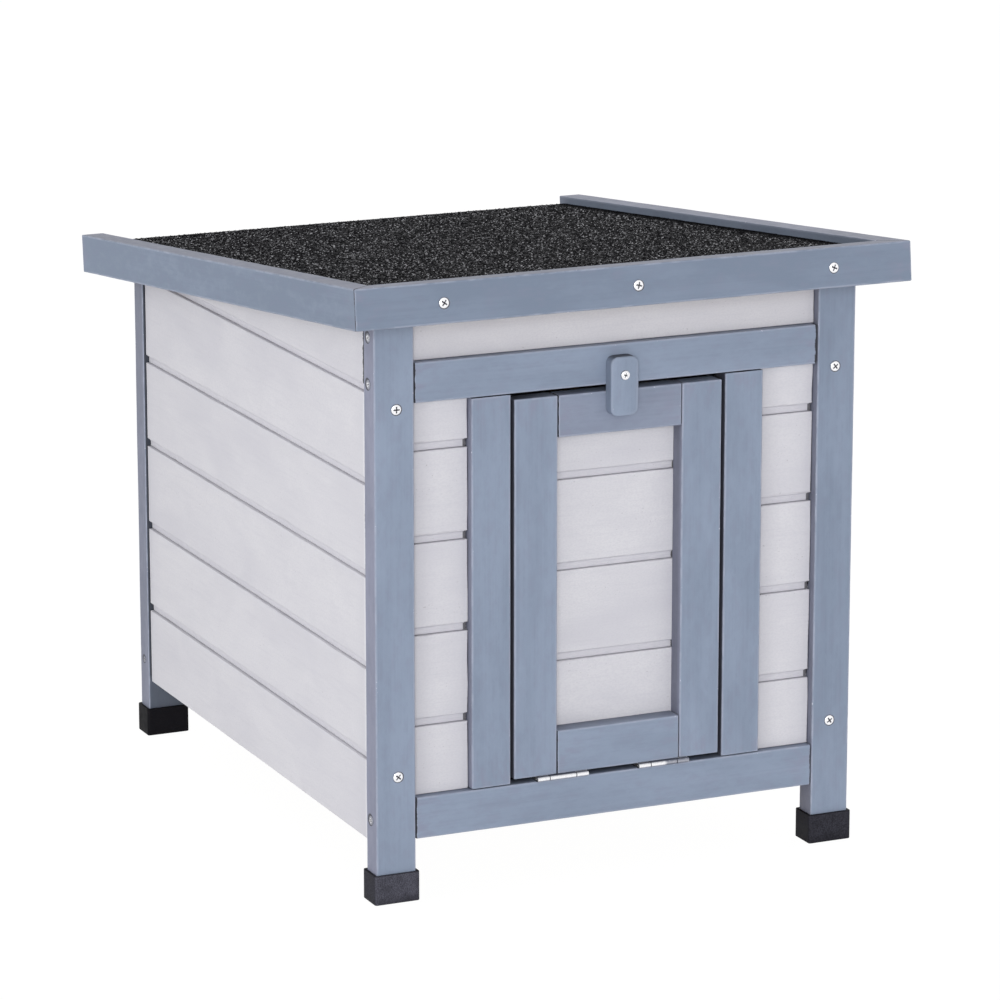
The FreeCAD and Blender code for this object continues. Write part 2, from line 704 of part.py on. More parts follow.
# The floor panel lies on the bearers, notched round the four upright battens.
wide = f"({SIDE_BACK} - {size('floor_gap')})"
narrow = f"({BATTEN_INNER} - {size('floor_gap')})"
wall_depth = put("max($rail_setback + $rail_thickness; $post_thickness)")
front_edge = put(f"({wall_depth} + $floor_gap)")
notch = f"({BATTEN_START} + {size('batten_width')} + {size('floor_gap')})"
rear_edge = put(f"($body_depth - {wall_depth} - $floor_gap)")
rear_notch = f"({size('body_depth')} - {notch})"
floor_half = [(narrow, front_edge), (narrow, notch), (wide, notch), (wide, rear_notch),
              (narrow, rear_notch), (narrow, rear_edge)]
floor_outline = floor_half + [(f"(-1 * {x})", y) for x, y in reversed(floor_half)]
floor = prism("floor_panel", "XY", floor_outline, size("floor_thickness"))
place(floor, "0", "0", size("floor_height"))
keep(floor)

# Door

DOOR_HEIGHT = f"({DOOR_TOP} - {DOOR_BOTTOM})"
DOOR_LINE = f"({SCREW_LINE} - {size('rail_setback')})"


def holes_between(low, high):
    """Hinge screws whose middle lies between two places across the door."""
    return [x for x in HINGE_SCREWS if number(low) < number(x) < number(high)]


for side in ("left", "right"):
    width = size(f"door_{side}_stile")
    stile = prism(f"door_{side}_stile", "XY", box(width, size("door_thickness")), DOOR_HEIGHT, "z")
    start = span_start(side, DOOR_INNER[side], DOOR_HALF)
    found = holes_between(start, f"({start} + {width})")
    if found:
        drill(stile, "hinge_holes", "XY", [(f"{x} - {start}", DOOR_LINE) for x in found], HINGE_HOLE,
              size("hinge_screw_length"), reverse=True)
    place(stile, start, size("rail_setback"), DOOR_BOTTOM)
    keep(stile)

cross_start = f"(-1 * {DOOR_INNER['left']} + {size('joint_gap')})"
cross_length = f"({DOOR_INNER['left']} + {DOOR_INNER['right']} - 2 * {size('joint_gap')})"
for name, height, level in (("door_top_rail", size("door_top_rail"), put(f"({DOOR_TOP} - $door_top_rail)")),
                            ("door_bottom_rail", size("door_bottom_rail"), DOOR_BOTTOM)):
    cross = prism(name, "XY", box(cross_length, size("door_thickness")), height, "x")
    found = holes_between(cross_start, f"({cross_start} + {cross_length})")
    if name == "door_bottom_rail" and found:
        drill(cross, "hinge_holes", "XY", [(f"{x} - {cross_start}", DOOR_LINE) for x in found],
              HINGE_HOLE, size("hinge_screw_length"), reverse=True)
    place(cross, cross_start, size("rail_setback"), level)
    keep(cross)

door_board_start = put(f"(-1 * ({DOOR_INNER['left']} + $door_board_overlap))")
door_board_length = put(f"({DOOR_INNER['left']} + {DOOR_INNER['right']} + 2 * $door_board_overlap)")
door_rows = board_stack(size("door_board_bottom"), size("door_first_seam"),
                        put(f"({DOOR_TOP} - $door_top_rail + $door_board_overlap)"),
                        SIZES["door_board_count"])
for i, row in enumerate(door_rows, start=1):
    piece = board(f"door_board_{i}", "YZ", row, door_board_length)
    place(piece, door_board_start, DOOR_BACK, row[0])
    keep(piece)

# Hinges

def hinge_leaf(name, lift, reach, outer):
    """One leaf about its pin at the origin: outer knuckles below it, or the middle one above.

    lift is the distance from the pin to the wood that the leaf lies on. reach is 1 where the
    leaf runs to the back from its pin and -1 where it runs to the front.
    """
    body = new_body(name)
    half = put("($hinge_length / 2)")
    middle = put("($hinge_middle / 2)")
    clear = put("($hinge_middle / 2 + $knuckle_gap)")
    step = put("($knuckle_radius + $knuckle_gap)")
    width = size("hinge_reach")
    if outer:
        rim = [(f"(-1 * {half})", "0"), (f"(-1 * {clear})", "0"), (f"(-1 * {clear})", step),
               (clear, step), (clear, "0"), (half, "0"), (half, width), (f"(-1 * {half})", width)]
        level = f"(-1 * {lift})"
        spans = [(f"(-1 * {half})", f"({half} - {clear})"), (clear, f"({half} - {clear})")]
    else:
        rim = [(f"(-1 * {middle})", "0"), (middle, "0"), (middle, step), (half, step), (half, width),
               (f"(-1 * {half})", width), (f"(-1 * {half})", step), (f"(-1 * {middle})", step)]
        level = put(f"({lift} - $leaf_thickness)")
        spans = [(f"(-1 * {middle})", f"(2 * {middle})")]
    plate = new_sketch(body, "XY", name + "_plate", level)
    outline(plate, [(x, f"{reach} * {y}") for x, y in rim])
    pad(body, plate, size("leaf_thickness"))
    for i, (start, length) in enumerate(spans):
        knuckle = new_sketch(body, "YZ", f"{name}_knuckle_{i}", start)
        circles(knuckle, [("0", "0")], size("knuckle_radius"))
        pad(body, knuckle, length)
    drill(body, "bore", "YZ", [("0", "0")], put("($pin_radius + $pin_gap)"), size("hinge_length"),
          offset=half)
    top = put("($hinge_screw_reach)")
    centres = [(sign + size("hinge_screw_place"), f"{reach} * {top}") for sign in ("-1 * ", "")]
    drill(body, "screw_holes", "XY", centres, HINGE_HOLE, f"(2 * {lift})", offset=lift)
    place(body, "0", "0", "0")
    return body


door_fixed = hinge_leaf("door_fixed_leaf", BARREL, "1", True)
door_moving = hinge_leaf("door_moving_leaf", BARREL, "1", False)
lid_fixed = hinge_leaf("lid_fixed_leaf", LID_BARREL, "-1", True)
lid_moving = hinge_leaf("lid_moving_leaf", LID_BARREL, "-1", False)

pin = new_body("hinge_pin")
pin_sketch = new_sketch(pin, "YZ", "pin_section", put("(-1 * $hinge_length / 2)"))
circles(pin_sketch, [("0", "0")], size("pin_radius"))
pad(pin, pin_sketch, size("hinge_length"))
place(pin, "0", "0", "0")


def at_hinges(source, stem):
    """Copies of a hinge piece at the two door hinges or the two roof hinges."""
    copies = []
    if stem.startswith("door"):
        for side, middle in HINGES:
            copies.append(copy_of(source, f"{stem}_{side}", middle, HINGE_LINE, HINGE_HEIGHT))
    else:
        for side, middle in LID_HINGES:
            copies.append(copy_of(source, f"{stem}_{side}", middle, LID_AXIS_Y, LID_AXIS_Z, angle=TILT))
    return copies


group("door_hinge_frame_leaves", at_hinges(door_fixed, "door_frame_leaf"))
group("door_hinge_door_leaves", at_hinges(door_moving, "door_leaf"))
group("roof_hinge_frame_leaves", at_hinges(lid_fixed, "roof_frame_leaf"))
group("roof_hinge_roof_leaves", at_hinges(lid_moving, "roof_leaf"))
group("hinge_pins", at_hinges(pin, "door_pin") + at_hinges(pin, "roof_pin"))

# Roof, drawn along its slope: y runs down to the back, z is square to the roof

ROOF_Y, ROOF_Z = roof_point("0", "0")


def on_roof(body):
    place(body, "0", ROOF_Y, ROOF_Z, angle=TILT)
    return keep(body)


def roof_prism(name, points, low, height):
    body = new_body(name)
    sketch = new_sketch(body, "XY", name + "_outline", low)
    outline(sketch, points)
    pad(body, sketch, height)
    return body


LOWEST = put("(-1 * $fascia_height)")
FASCIA_INNER = put("($body_width / 2 + $side_overhang - $fascia_thickness)")
fascia_holes = [f"(-1 * {size('fascia_screw_left')})", size("fascia_screw_middle"),
                size("fascia_screw_right")]
screw_level = put("(-1 * $fascia_screw_drop)")

fascia = roof_prism("front_fascia", [
    (f"(-1 * {ROOF_HALF})", "0"), (ROOF_HALF, "0"),
    (FASCIA_INNER, size("fascia_thickness")), (f"(-1 * {FASCIA_INNER})", size("fascia_thickness"))],
    LOWEST, size("fascia_height"))
ease(fascia, "x")
drill(fascia, "screw_holes", "XZ", [(x, screw_level) for x in fascia_holes], HOLE,
      size("fascia_thickness"))
on_roof(fascia)

for side in ("left", "right"):
    inner_front = put("($fascia_thickness + $mitre_gap)")
    edge = [(ROOF_HALF, size("mitre_gap")), (ROOF_HALF, ROOF_LENGTH),
            (FASCIA_INNER, ROOF_LENGTH), (FASCIA_INNER, inner_front)]
    fascia = roof_prism(f"{side}_fascia", [(mirrored(side, x), y) for x, y in edge], LOWEST,
                        size("fascia_height"))
    ease(fascia, "y")
    on_roof(fascia)

deck_outline = [(f"(-1 * {DECK_HALF})", DECK_START), (DECK_HALF, DECK_START),
                (DECK_HALF, f"({DECK_START} + {DECK_LENGTH})"),
                (f"(-1 * {DECK_HALF})", f"({DECK_START} + {DECK_LENGTH})")]
deck = roof_prism("roof_deck", deck_outline, f"(-1 * {DECK_UNDER})", size("deck_thickness"))
drill(deck, "screw_holes", "XZ", [(x, screw_level) for x in fascia_holes], HOLE,
      put("($face_screw_length - $fascia_thickness)"), offset=f"(-1 * {DECK_START})")
drill(deck, "hinge_holes", "XY", [(x, LID_SCREW_ALONG) for x in LID_SCREWS], HINGE_HOLE,
      put("($hinge_screw_length - $leaf_thickness)"), offset=f"(-1 * {DECK_UNDER})", reverse=True)
on_roof(deck)
on_roof(roof_prism("roof_felt", deck_outline, put("(-1 * $felt_lip - $felt_thickness)"),
                   size("felt_thickness")))

# Turn button

button = new_body("turn_button")
face = new_sketch(button, "XZ", "button_face")
left, right = put("(-1 * $button_width / 2)"), put("($button_width / 2)")
high = size("button_pivot_drop")
low = put("($button_pivot_drop - $button_length)")
outline(face, [(left, low), (right, low), (right, high), (left, high)])
pad(button, face, size("button_thickness"))
round_edges(button, "button_corners", size("button_rounding"), lambda p, q: abs(p.y - q.y) > 1)
front_face = -SIZES["button_thickness"]
round_edges(button, "button_front_easing", size("button_easing"),
            lambda p, q: abs(p.y - front_face) < 0.01 and abs(q.y - front_face) < 0.01)
drill(button, "pivot_hole", "XZ", [("0", "0")], HOLE, size("button_thickness"),
      offset=size("button_thickness"))
place(button, "0", put("($rail_setback - $button_gap)"), PIVOT_HEIGHT)
keep(button)

# Screws


def make_screw(name, kind, radius, length):
    """A cross-head wood screw: low domed head above the origin, shank and point below it."""
    head_radius = size(kind + "_head_radius")
    head_height = size(kind + "_head_height")
    rim = size(kind + "_head_rim")
    dome = f"({head_radius} - {size(kind + '_head_bevel')})"
    body = new_body(name)
    profile = new_sketch(body, "XZ", name + "_profile")
    outline(profile, [("0", head_height), (dome, head_height), (head_radius, rim), (head_radius, "0"),
                      (radius, "0"), (radius, f"-1 * ({length} - 2 * {radius})"),
                      ("0", f"-1 * {length}")])
    turn = body.newObject("PartDesign::Revolution", name + "_turn")
    turn.Profile = profile
    turn.ReferenceAxis = (profile, ["V_Axis"])
    turn.Angle = 360
    cross = new_sketch(body, "XY", name + "_cross", head_height)
    arm = f"({dome} - {size('cross_margin')})"
    half = f"({size(kind + '_cross_width')} / 2)"
    quarter = [(half, arm), (half, half), (arm, half)]
    corners = []
    for _ in range(4):
        corners += quarter
        quarter = [(y, f"-1 * {x}") for x, y in quarter]
    outline(cross, corners)
    cut(body, cross, size(kind + "_cross_depth"))
    place(body, "0", "0", "0")
    return body


face_screw = make_screw("face_screw", "screw", size("screw_radius"), size("face_screw_length"))
side_screw = make_screw("side_screw", "screw", size("screw_radius"), size("side_screw_length"))
hinge_screw = make_screw("hinge_screw", "hinge", size("hinge_screw_radius"),
                         size("hinge_screw_length"))

members = []
screw_x = put("($body_width / 2 - $face_screw_inset)")
for side in ("left", "right"):
    turn = "-90" if side == "left" else "90"
    for i, level in enumerate(FACE_SCREWS["front"]):
        members.append(copy_of(face_screw, f"{side}_front_face_screw_{i}", mirrored(side, screw_x), "0",
                               level, angle="90"))
    for i, level in enumerate(FACE_SCREWS["rear"]):
        members.append(copy_of(face_screw, f"{side}_rear_face_screw_{i}", mirrored(side, screw_x),
                               size("body_depth"), level, angle="-90"))
    for i, level in enumerate(SIDE_SCREWS["front"]):
        members.append(copy_of(side_screw, f"{side}_front_side_screw_{i}", mirrored(side, HALF),
                               size("side_screw_line"), level, (0, 1, 0), turn))
    for i, level in enumerate(SIDE_SCREWS["rear"]):
        members.append(copy_of(side_screw, f"{side}_rear_side_screw_{i}", mirrored(side, HALF),
                               put("($body_depth - $side_screw_line)"), level, (0, 1, 0), turn))
group("frame_screws", members)

members = []
for i, x in enumerate(fascia_holes):
    y, z = roof_point("0", screw_level)
    members.append(copy_of(face_screw, f"fascia_screw_{i}", x, y, z, angle=put("(90 - $roof_slope_deg)")))
group("fascia_screws", members)

button_screw = make_screw("button_screw", "button", size("screw_radius"), size("button_screw_length"))
place(button_screw, "0", put("($rail_setback - $button_gap - $button_thickness)"), PIVOT_HEIGHT,
      angle="90")
keep(button_screw, "turn_button_screw")

leaf = size("leaf_thickness")
frame_members = []
door_members = []
for i, x in enumerate(HINGE_SCREWS):
    frame_members.append(copy_of(hinge_screw, f"door_frame_screw_{i}", x, SCREW_LINE,
                                 f"({RAIL_TOP} + {leaf})"))
    door_members.append(copy_of(hinge_screw, f"door_screw_{i}", x, SCREW_LINE,
                                f"({DOOR_BOTTOM} - {leaf})", angle="180"))
roof_members = []
for i, x in enumerate(LID_SCREWS):
    y, z = roof_point(LID_SCREW_ALONG, f"({LID_AXIS_LIFT} - {LID_BARREL} + {leaf})")
    frame_members.append(copy_of(hinge_screw, f"rear_rail_screw_{i}", x, y, z, angle=TILT))
    y, z = roof_point(LID_SCREW_ALONG, f"({LID_AXIS_LIFT} + {LID_BARREL} - {leaf})")
    roof_members.append(copy_of(hinge_screw, f"roof_screw_{i}", x, y, z,
                                angle=put("(180 - $roof_slope_deg)")))
group("frame_hinge_screws", frame_members)
group("door_hinge_screws", door_members)
group("roof_hinge_screws", roof_members)

# Check every object, then write each sub-part to its own file

doc.recompute()
faults = [thing.Label for thing in doc.Objects if "Invalid" in thing.State or "Error" in thing.State]
for thing in PARTS:
    if thing.Shape.isNull() or not thing.Shape.isValid() or not thing.Shape.Solids:
        faults.append(thing.Label)
if faults:
    raise RuntimeError("failed objects: " + ", ".join(faults))

os.makedirs("parts", exist_ok=True)
for thing in PARTS:
    thing.Shape.exportStep(f"parts/{thing.Label}.step")
print(len(PARTS), "sub-parts written")
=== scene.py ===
# %% [markdown]
# # An outdoor wooden cat house
#
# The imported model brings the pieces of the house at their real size: four posts on black caps,
# rails and jambs, tongued boards, a framed door, a turn button and a felted roof. It fixes where
# everything is and how it moves. These cells give the pieces the surface that a finished house
# has: eased and slightly uneven timber, brushed-on stain, granules on the felt, and bright screws.

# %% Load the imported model
import json
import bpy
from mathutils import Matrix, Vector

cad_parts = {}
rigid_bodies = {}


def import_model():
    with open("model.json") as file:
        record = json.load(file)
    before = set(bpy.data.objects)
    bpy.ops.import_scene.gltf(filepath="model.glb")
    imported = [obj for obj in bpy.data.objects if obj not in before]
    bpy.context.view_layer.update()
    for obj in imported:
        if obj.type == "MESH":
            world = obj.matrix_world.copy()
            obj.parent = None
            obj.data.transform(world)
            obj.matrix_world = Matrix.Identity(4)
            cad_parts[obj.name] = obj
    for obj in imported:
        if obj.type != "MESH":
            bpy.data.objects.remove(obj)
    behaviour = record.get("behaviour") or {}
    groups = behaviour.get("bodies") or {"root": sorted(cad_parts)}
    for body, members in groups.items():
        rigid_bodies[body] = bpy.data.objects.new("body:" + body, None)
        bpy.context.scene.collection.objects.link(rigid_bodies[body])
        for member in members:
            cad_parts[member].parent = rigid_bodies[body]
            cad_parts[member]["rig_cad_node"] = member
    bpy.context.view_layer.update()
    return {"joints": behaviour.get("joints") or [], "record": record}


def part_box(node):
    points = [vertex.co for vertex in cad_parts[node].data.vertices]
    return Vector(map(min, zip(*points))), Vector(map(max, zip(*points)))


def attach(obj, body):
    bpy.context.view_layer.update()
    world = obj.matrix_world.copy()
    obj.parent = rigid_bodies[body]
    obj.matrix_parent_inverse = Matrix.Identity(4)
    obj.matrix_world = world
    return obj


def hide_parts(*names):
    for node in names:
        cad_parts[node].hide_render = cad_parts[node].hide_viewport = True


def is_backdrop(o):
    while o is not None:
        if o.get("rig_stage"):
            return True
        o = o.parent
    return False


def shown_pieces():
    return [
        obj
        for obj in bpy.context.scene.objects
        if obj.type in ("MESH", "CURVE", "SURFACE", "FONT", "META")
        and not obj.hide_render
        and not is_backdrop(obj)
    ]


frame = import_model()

import zlib

import bpy
import numpy as np

MM = 0.001
record = frame["record"]
body_of_node = {node: body for body, nodes in record["behaviour"]["bodies"].items() for node in nodes}
slot_of_node = {part["node"]: part["material_slot"] for part in record["subparts"]}

# %% [markdown]
# ## The camera
#
# The photograph was taken from far off with a long lens, a little to the left of the house and
# just above its roof. A camera could be tracked to the house by a constraint, but a place, a
# heading and a tilt are plainer and stay put when another view is asked for.

# %% Camera
CAMERA_PLACE = (-1.7025, -3.8043, 1.2902)
CAMERA_HEADING = -24.372
CAMERA_TILT = 13.899
CAMERA_LENS = 174.54
SENSOR_WIDTH = 36.0

lens = bpy.data.cameras.new("camera")
lens.sensor_width = SENSOR_WIDTH
lens.lens = CAMERA_LENS
lens.clip_end = 100.0
camera = bpy.data.objects.new("camera", lens)
camera.location = CAMERA_PLACE
camera.rotation_euler = np.radians([90.0 - CAMERA_TILT, 0.0, CAMERA_HEADING])
bpy.context.scene.collection.objects.link(camera)
bpy.context.scene.camera = camera
print("camera", camera.name, "with a lens of", CAMERA_LENS, "mm")

# %% [markdown]
# ## Writing a finish as nodes
#
# A finish is a tree of nodes that ends in one shader. It could be wired by hand in the shader
# editor. Here a small class adds one node per call, so that each finish below reads from the
# top down like a recipe: where on the wood, which pattern, how strong, which colour.

# %% A helper for finishes
def seen(red, green, blue):
    """Light values of a colour given as it is seen on a screen, each part from 0 to 255."""
    shown = np.array([red, green, blue]) / 255
    return (*np.where(shown > 0.04045, ((shown + 0.055) / 1.055) ** 2.4, shown / 12.92), 1.0)


class Finish:
    """A material and the nodes that make it. Each call adds a node and returns its output."""

    def __init__(self, slot):
        """Start a material, with the piece's grain as the place that every pattern reads."""
        self.material = bpy.data.materials.new(slot)
        self.material.use_nodes = True
        self.nodes = self.material.node_tree.nodes
        self.links = self.material.node_tree.links
        self.shader = self.nodes["Principled BSDF"]
        self.grain = self.attribute("grain")

    def feed(self, socket, value):
        """Set a socket to a plain value, or link an output to it."""
        if isinstance(value, bpy.types.NodeSocket):
            self.links.new(value, socket)
        else:
            socket.default_value = value

    def node(self, kind, output, inputs, **settings):
        """Any node, by its kind, with its sockets fed and its settings made."""
        made = self.nodes.new("ShaderNode" + kind)
        for name, value in settings.items():
            setattr(made, name, value)
        for socket, value in inputs.items():
            self.feed(made.inputs[socket], value)
        return made.outputs[output]

    def attribute(self, name):
        """A vector that each point of the piece carries."""
        return self.node("Attribute", "Vector", {}, attribute_name=name)

    def amount(self, name):
        """A number that each point of the piece carries."""
        return self.node("Attribute", "Fac", {}, attribute_name=name)

    def parts(self, vector):
        """The X, Y and Z of a vector, as three outputs."""
        made = self.nodes.new("ShaderNodeSeparateXYZ")
        self.links.new(vector, made.inputs[0])
        return made.outputs[:3]

    def noise(self, scale, detail=2.0, rough=0.5, warp=0.0):
        """Noise with a scale along the grain and two across it, so that it can be stretched."""
        where = self.node("VectorMath", 0, {0: self.grain, 1: scale}, operation="MULTIPLY")
        return self.node("TexNoise", 0, {"Vector": where, "Scale": 1.0, "Detail": detail,
                                         "Roughness": rough, "Distortion": warp})

    def ramp(self, value, low, high, to_low=0.0, to_high=1.0):
        """Zero below low and one above high, with a soft step between them."""
        return self.node("MapRange", 0, {"Value": value, "From Min": low, "From Max": high,
                                         "To Min": to_low, "To Max": to_high},
                         interpolation_type="SMOOTHSTEP")

    def times(self, one, other):
        """The product of two numbers."""
        return self.node("Math", 0, {0: one, 1: other}, operation="MULTIPLY")

    def plus(self, one, other):
        """The sum of two numbers."""
        return self.node("Math", 0, {0: one, 1: other}, operation="ADD")

    def mix(self, amount, under, over):
        """The colour under, covered by the colour over by an amount."""
        return self.node("Mix", 2, {0: amount, 6: under, 7: over}, data_type="RGBA")

    def bump(self, height, depth, strength):
        """Normals that lean as if the surface rose by height times depth."""
        return self.node("Bump", 0, {"Height": height, "Distance": depth, "Strength": strength})

    def done(self, colour, roughness, bump, metallic=0.0, specular=0.5):
        """Feed the shader, and hand over the material."""
        self.feed(self.shader.inputs["Base Color"], colour)
        self.feed(self.shader.inputs["Roughness"], roughness)
        self.shader.inputs["Metallic"].default_value = metallic
        self.shader.inputs["Specular IOR Level"].default_value = specular
        self.links.new(bump, self.shader.inputs["Normal"])
        return self.material

# %% [markdown]
# ## Blue-grey stain
#
# The frame and the fascias are brushed with a thin blue-grey stain. Some sticks took more of it
# than others, and every stick has soft mottles where the wood drank it unevenly. It lies thin and
# lilac on the narrow sawn sides and along the edges, and dark dirt sits in the open joints. Painted
# shade darkens the nooks, gaps and undersides that lie in shade. Every point of the timber carries
# its place in the grain, so a pattern follows its own stick.

# %% Blue-grey stain
STAIN_PALE = seen(150, 163, 185)
STAIN_DEEP = seen(118, 131, 151)
STAIN_LILAC = seen(140, 141, 162)
STAIN_THIN = seen(150, 153, 175)
STAIN_THIN_DEEP = seen(118, 122, 138)
STAIN_EDGE = seen(166, 173, 191)
STAIN_FLECK = seen(214, 217, 228)
JOINT_DIRT_AND_SHADE = seen(25, 25, 33)
SMUDGE_REACH = 30.0 * MM
JOINT_BLUR = 0.3 * MM
STAIN_RELIEF = 0.10 * MM


def joint_dark(finish, to_end, ragged):
    """How dark a joint is: nearly one up to its width from the stick's end, with a ragged edge."""
    width = finish.amount("joint")
    left_over = finish.plus(finish.times(width, finish.ramp(ragged, 0.3, 0.7, 0.5, 1.3)),
                            finish.times(to_end, -1.0))
    return finish.ramp(left_over, 0.0, JOINT_BLUR, 0.0, 0.95)


def blue_grey_stain(slot):
    """Stain = pale to deep by the stick's tone, mottled, lilac where thin, dark in joints and painted
    shade.
    """
    finish = Finish(slot)
    wear, to_end, narrow = finish.parts(finish.attribute("finish"))
    cloud = finish.noise((8, 30, 30), warp=0.4)
    mottle = finish.noise((60, 130, 130), detail=4.0, rough=0.7)
    streak = finish.noise((9, 420, 420), detail=3.0, rough=0.6)
    fibre = finish.noise((60, 2600, 2600))
    taken = finish.plus(finish.amount("tone"), finish.ramp(cloud, 0.25, 0.75, -0.16, 0.16))
    lined = finish.times(finish.ramp(streak, 0.3, 0.75, -0.07, 0.10),
                         finish.ramp(mottle, 0.35, 0.6, 0.2, 1.0))
    taken = finish.plus(taken, finish.plus(lined, finish.ramp(mottle, 0.3, 0.7, -0.06, 0.06)))
    broad = finish.mix(taken, STAIN_PALE, STAIN_DEEP)
    broad = finish.mix(finish.ramp(mottle, 0.45, 0.75, 0.0, 0.25), broad, STAIN_LILAC)
    colour = finish.mix(narrow, broad, finish.mix(taken, STAIN_THIN, STAIN_THIN_DEEP))
    smudge = finish.times(finish.ramp(to_end, 0.0, SMUDGE_REACH, 1.0, 0.0),
                          finish.ramp(mottle, 0.4, 0.65, 0.0, 0.35))
    colour = finish.mix(smudge, colour, STAIN_LILAC)
    edge = finish.times(wear, finish.ramp(mottle, 0.35, 0.65, 0.1, 0.7))
    colour = finish.mix(edge, colour, STAIN_EDGE)
    fleck = finish.noise((420, 700, 700), detail=1.0)
    colour = finish.mix(finish.times(wear, finish.ramp(fleck, 0.75, 0.79)), colour, STAIN_FLECK)
    # Painted shade, with some dirt, in nooks, gaps and undersides of the frame.
    colour = finish.mix(finish.amount("dirt"), colour, JOINT_DIRT_AND_SHADE)
    colour = finish.mix(joint_dark(finish, to_end, mottle), colour, JOINT_DIRT_AND_SHADE)
    height = finish.plus(streak, finish.times(fibre, 0.6))
    return finish.done(colour, finish.ramp(mottle, 0.3, 0.7, 0.55, 0.7),
                       finish.bump(height, STAIN_RELIEF, 0.5))

# %% [markdown]
# ## White wash
#
# The boards carry a thinner white wash with a touch of lilac. The wood's fibres show through it as
# pale grey streaks, dust sits in the pores as small dark specks, the set-back band between two
# boards is greyer, and a board is a little greyer near its ends. Painted shade darkens the ledge
# under each band and a front board where it comes out from its frame. On a sawn end the wash
# stands thick and bright, partly as a painted highlight.

# %% White wash
WASH = seen(211, 210, 216)
WASH_WARM = seen(217, 216, 221)
WASH_GREY = seen(197, 196, 205)
WASH_DIRT = seen(150, 146, 152)
WASH_THICK_AND_HIGHLIT = seen(238, 237, 242)
THICK_END = (1.5 * MM, 3.5 * MM)
WASH_RELIEF = 0.12 * MM


def white_wash(slot):
    """Wash = white, warmer and greyer in clouds, faint fibres, grey band, sparse specks."""
    finish = Finish(slot)
    wear, to_end, band = finish.parts(finish.attribute("finish"))
    cloud = finish.noise((13, 26, 26), detail=4.0, rough=0.6, warp=0.6)
    patch = finish.noise((7, 18, 18), warp=0.3)
    streak = finish.noise((20, 300, 300), detail=4.0, rough=0.7)
    fibre = finish.noise((140, 1700, 1700))
    speck = finish.noise((450, 700, 700), detail=1.0)
    sparse = finish.noise((25, 45, 45), detail=1.0)
    colour = finish.mix(finish.ramp(cloud, 0.35, 0.65), WASH, WASH_WARM)
    colour = finish.mix(finish.ramp(patch, 0.45, 0.75, 0.0, 0.5), colour, WASH_GREY)
    colour = finish.mix(finish.ramp(streak, 0.48, 0.75, 0.0, 0.3), colour, WASH_GREY)
    grit = finish.noise((450, 800, 800), rough=0.6)
    colour = finish.mix(finish.ramp(grit, 0.42, 0.62, 0.0, 0.3), colour, WASH_GREY)
    # The set-back band is greyer, with coarser fibres.
    band_grey = finish.times(band, finish.ramp(fibre, 0.35, 0.65, 0.1, 0.8))
    colour = finish.mix(band_grey, colour, WASH_GREY)
    dirt = finish.times(finish.ramp(to_end, 0.0, SMUDGE_REACH, 1.0, 0.0),
                        finish.ramp(cloud, 0.3, 0.65, 0.0, 0.5))
    colour = finish.mix(dirt, colour, WASH_GREY)
    dust = finish.times(finish.ramp(speck, 0.72, 0.78), finish.ramp(sparse, 0.5, 0.65, 0.0, 0.6))
    colour = finish.mix(dust, colour, WASH_DIRT)
    edge = finish.times(wear, finish.ramp(streak, 0.5, 0.65, 0.0, 0.35))
    colour = finish.mix(edge, colour, WASH_DIRT)
    # Thick, bright wash at a board's ends, partly a painted highlight on the rounded end.
    thick = finish.times(finish.ramp(to_end, *THICK_END, 1.0, 0.3), finish.amount("tone"))
    colour = finish.mix(thick, colour, WASH_THICK_AND_HIGHLIT)
    # Dark joints at a board's ends, and painted shade on the notch at the end of each band.
    torn = finish.noise((200, 200, 200), detail=4.0, rough=0.7)
    torn = finish.plus(finish.times(torn, finish.ramp(band, 0.0, 1.0, 1.0, 0.04)),
                       finish.ramp(band, 0.0, 1.0, 0.0, 0.48))
    shut = finish.times(joint_dark(finish, to_end, torn), finish.ramp(band, 0.0, 1.0, 1.0, 0.85))
    colour = finish.mix(shut, colour, JOINT_DIRT_AND_SHADE)
    # Painted shade on ledges and where a board comes out from its frame, and greying along it.
    colour = finish.mix(finish.amount("dirt"), colour, JOINT_DIRT_AND_SHADE)
    height = finish.plus(streak, finish.times(fibre, finish.ramp(band, 0.0, 1.0, 0.5, 2.0)))
    return finish.done(colour, finish.ramp(streak, 0.2, 0.8, 0.55, 0.72),
                       finish.bump(height, WASH_RELIEF, 0.5))

# %% [markdown]
# ## Bare wood
#
# Inside, the battens, the bearers, the floor and the roof deck are left bare. Softwood has pale
# and darker bands along the grain, which are cuts through its year rings. Stretched noise that is
# bent by a slower noise gives such bands without a picture of wood.

# %% Bare wood
PINE = seen(222, 196, 150)
PINE_RING = seen(203, 170, 122)
PINE_RELIEF = 0.1 * MM


def bare_pine(slot):
    """Pine = pale wood, with darker year rings from noise stretched along the grain."""
    finish = Finish(slot)
    ring = finish.noise((3, 90, 90), detail=3.0, rough=0.45, warp=0.8)
    fibre = finish.noise((60, 2400, 2400))
    colour = finish.mix(finish.ramp(ring, 0.38, 0.66), PINE, PINE_RING)
    colour = finish.mix(finish.times(finish.ramp(fibre, 0.45, 0.8), 0.4), colour, PINE_RING)
    return finish.done(colour, finish.ramp(ring, 0.3, 0.7, 0.6, 0.75),
                       finish.bump(fibre, PINE_RELIEF, 0.6))

# %% [markdown]
# ## Felt
#
# The roofing felt is bitumen with crushed slate pressed into it, so it is almost black with grey
# glints. The chips that stand up bring their own grey with them. The ones that lie flat are cells
# of a Voronoi pattern, of which only the brightest fifth shows.

# %% Felt finish
BITUMEN = seen(16, 16, 19)
SLATE = seen(205, 205, 210)
CHIP_CELLS = 620.0
FELT_RELIEF = 0.5 * MM


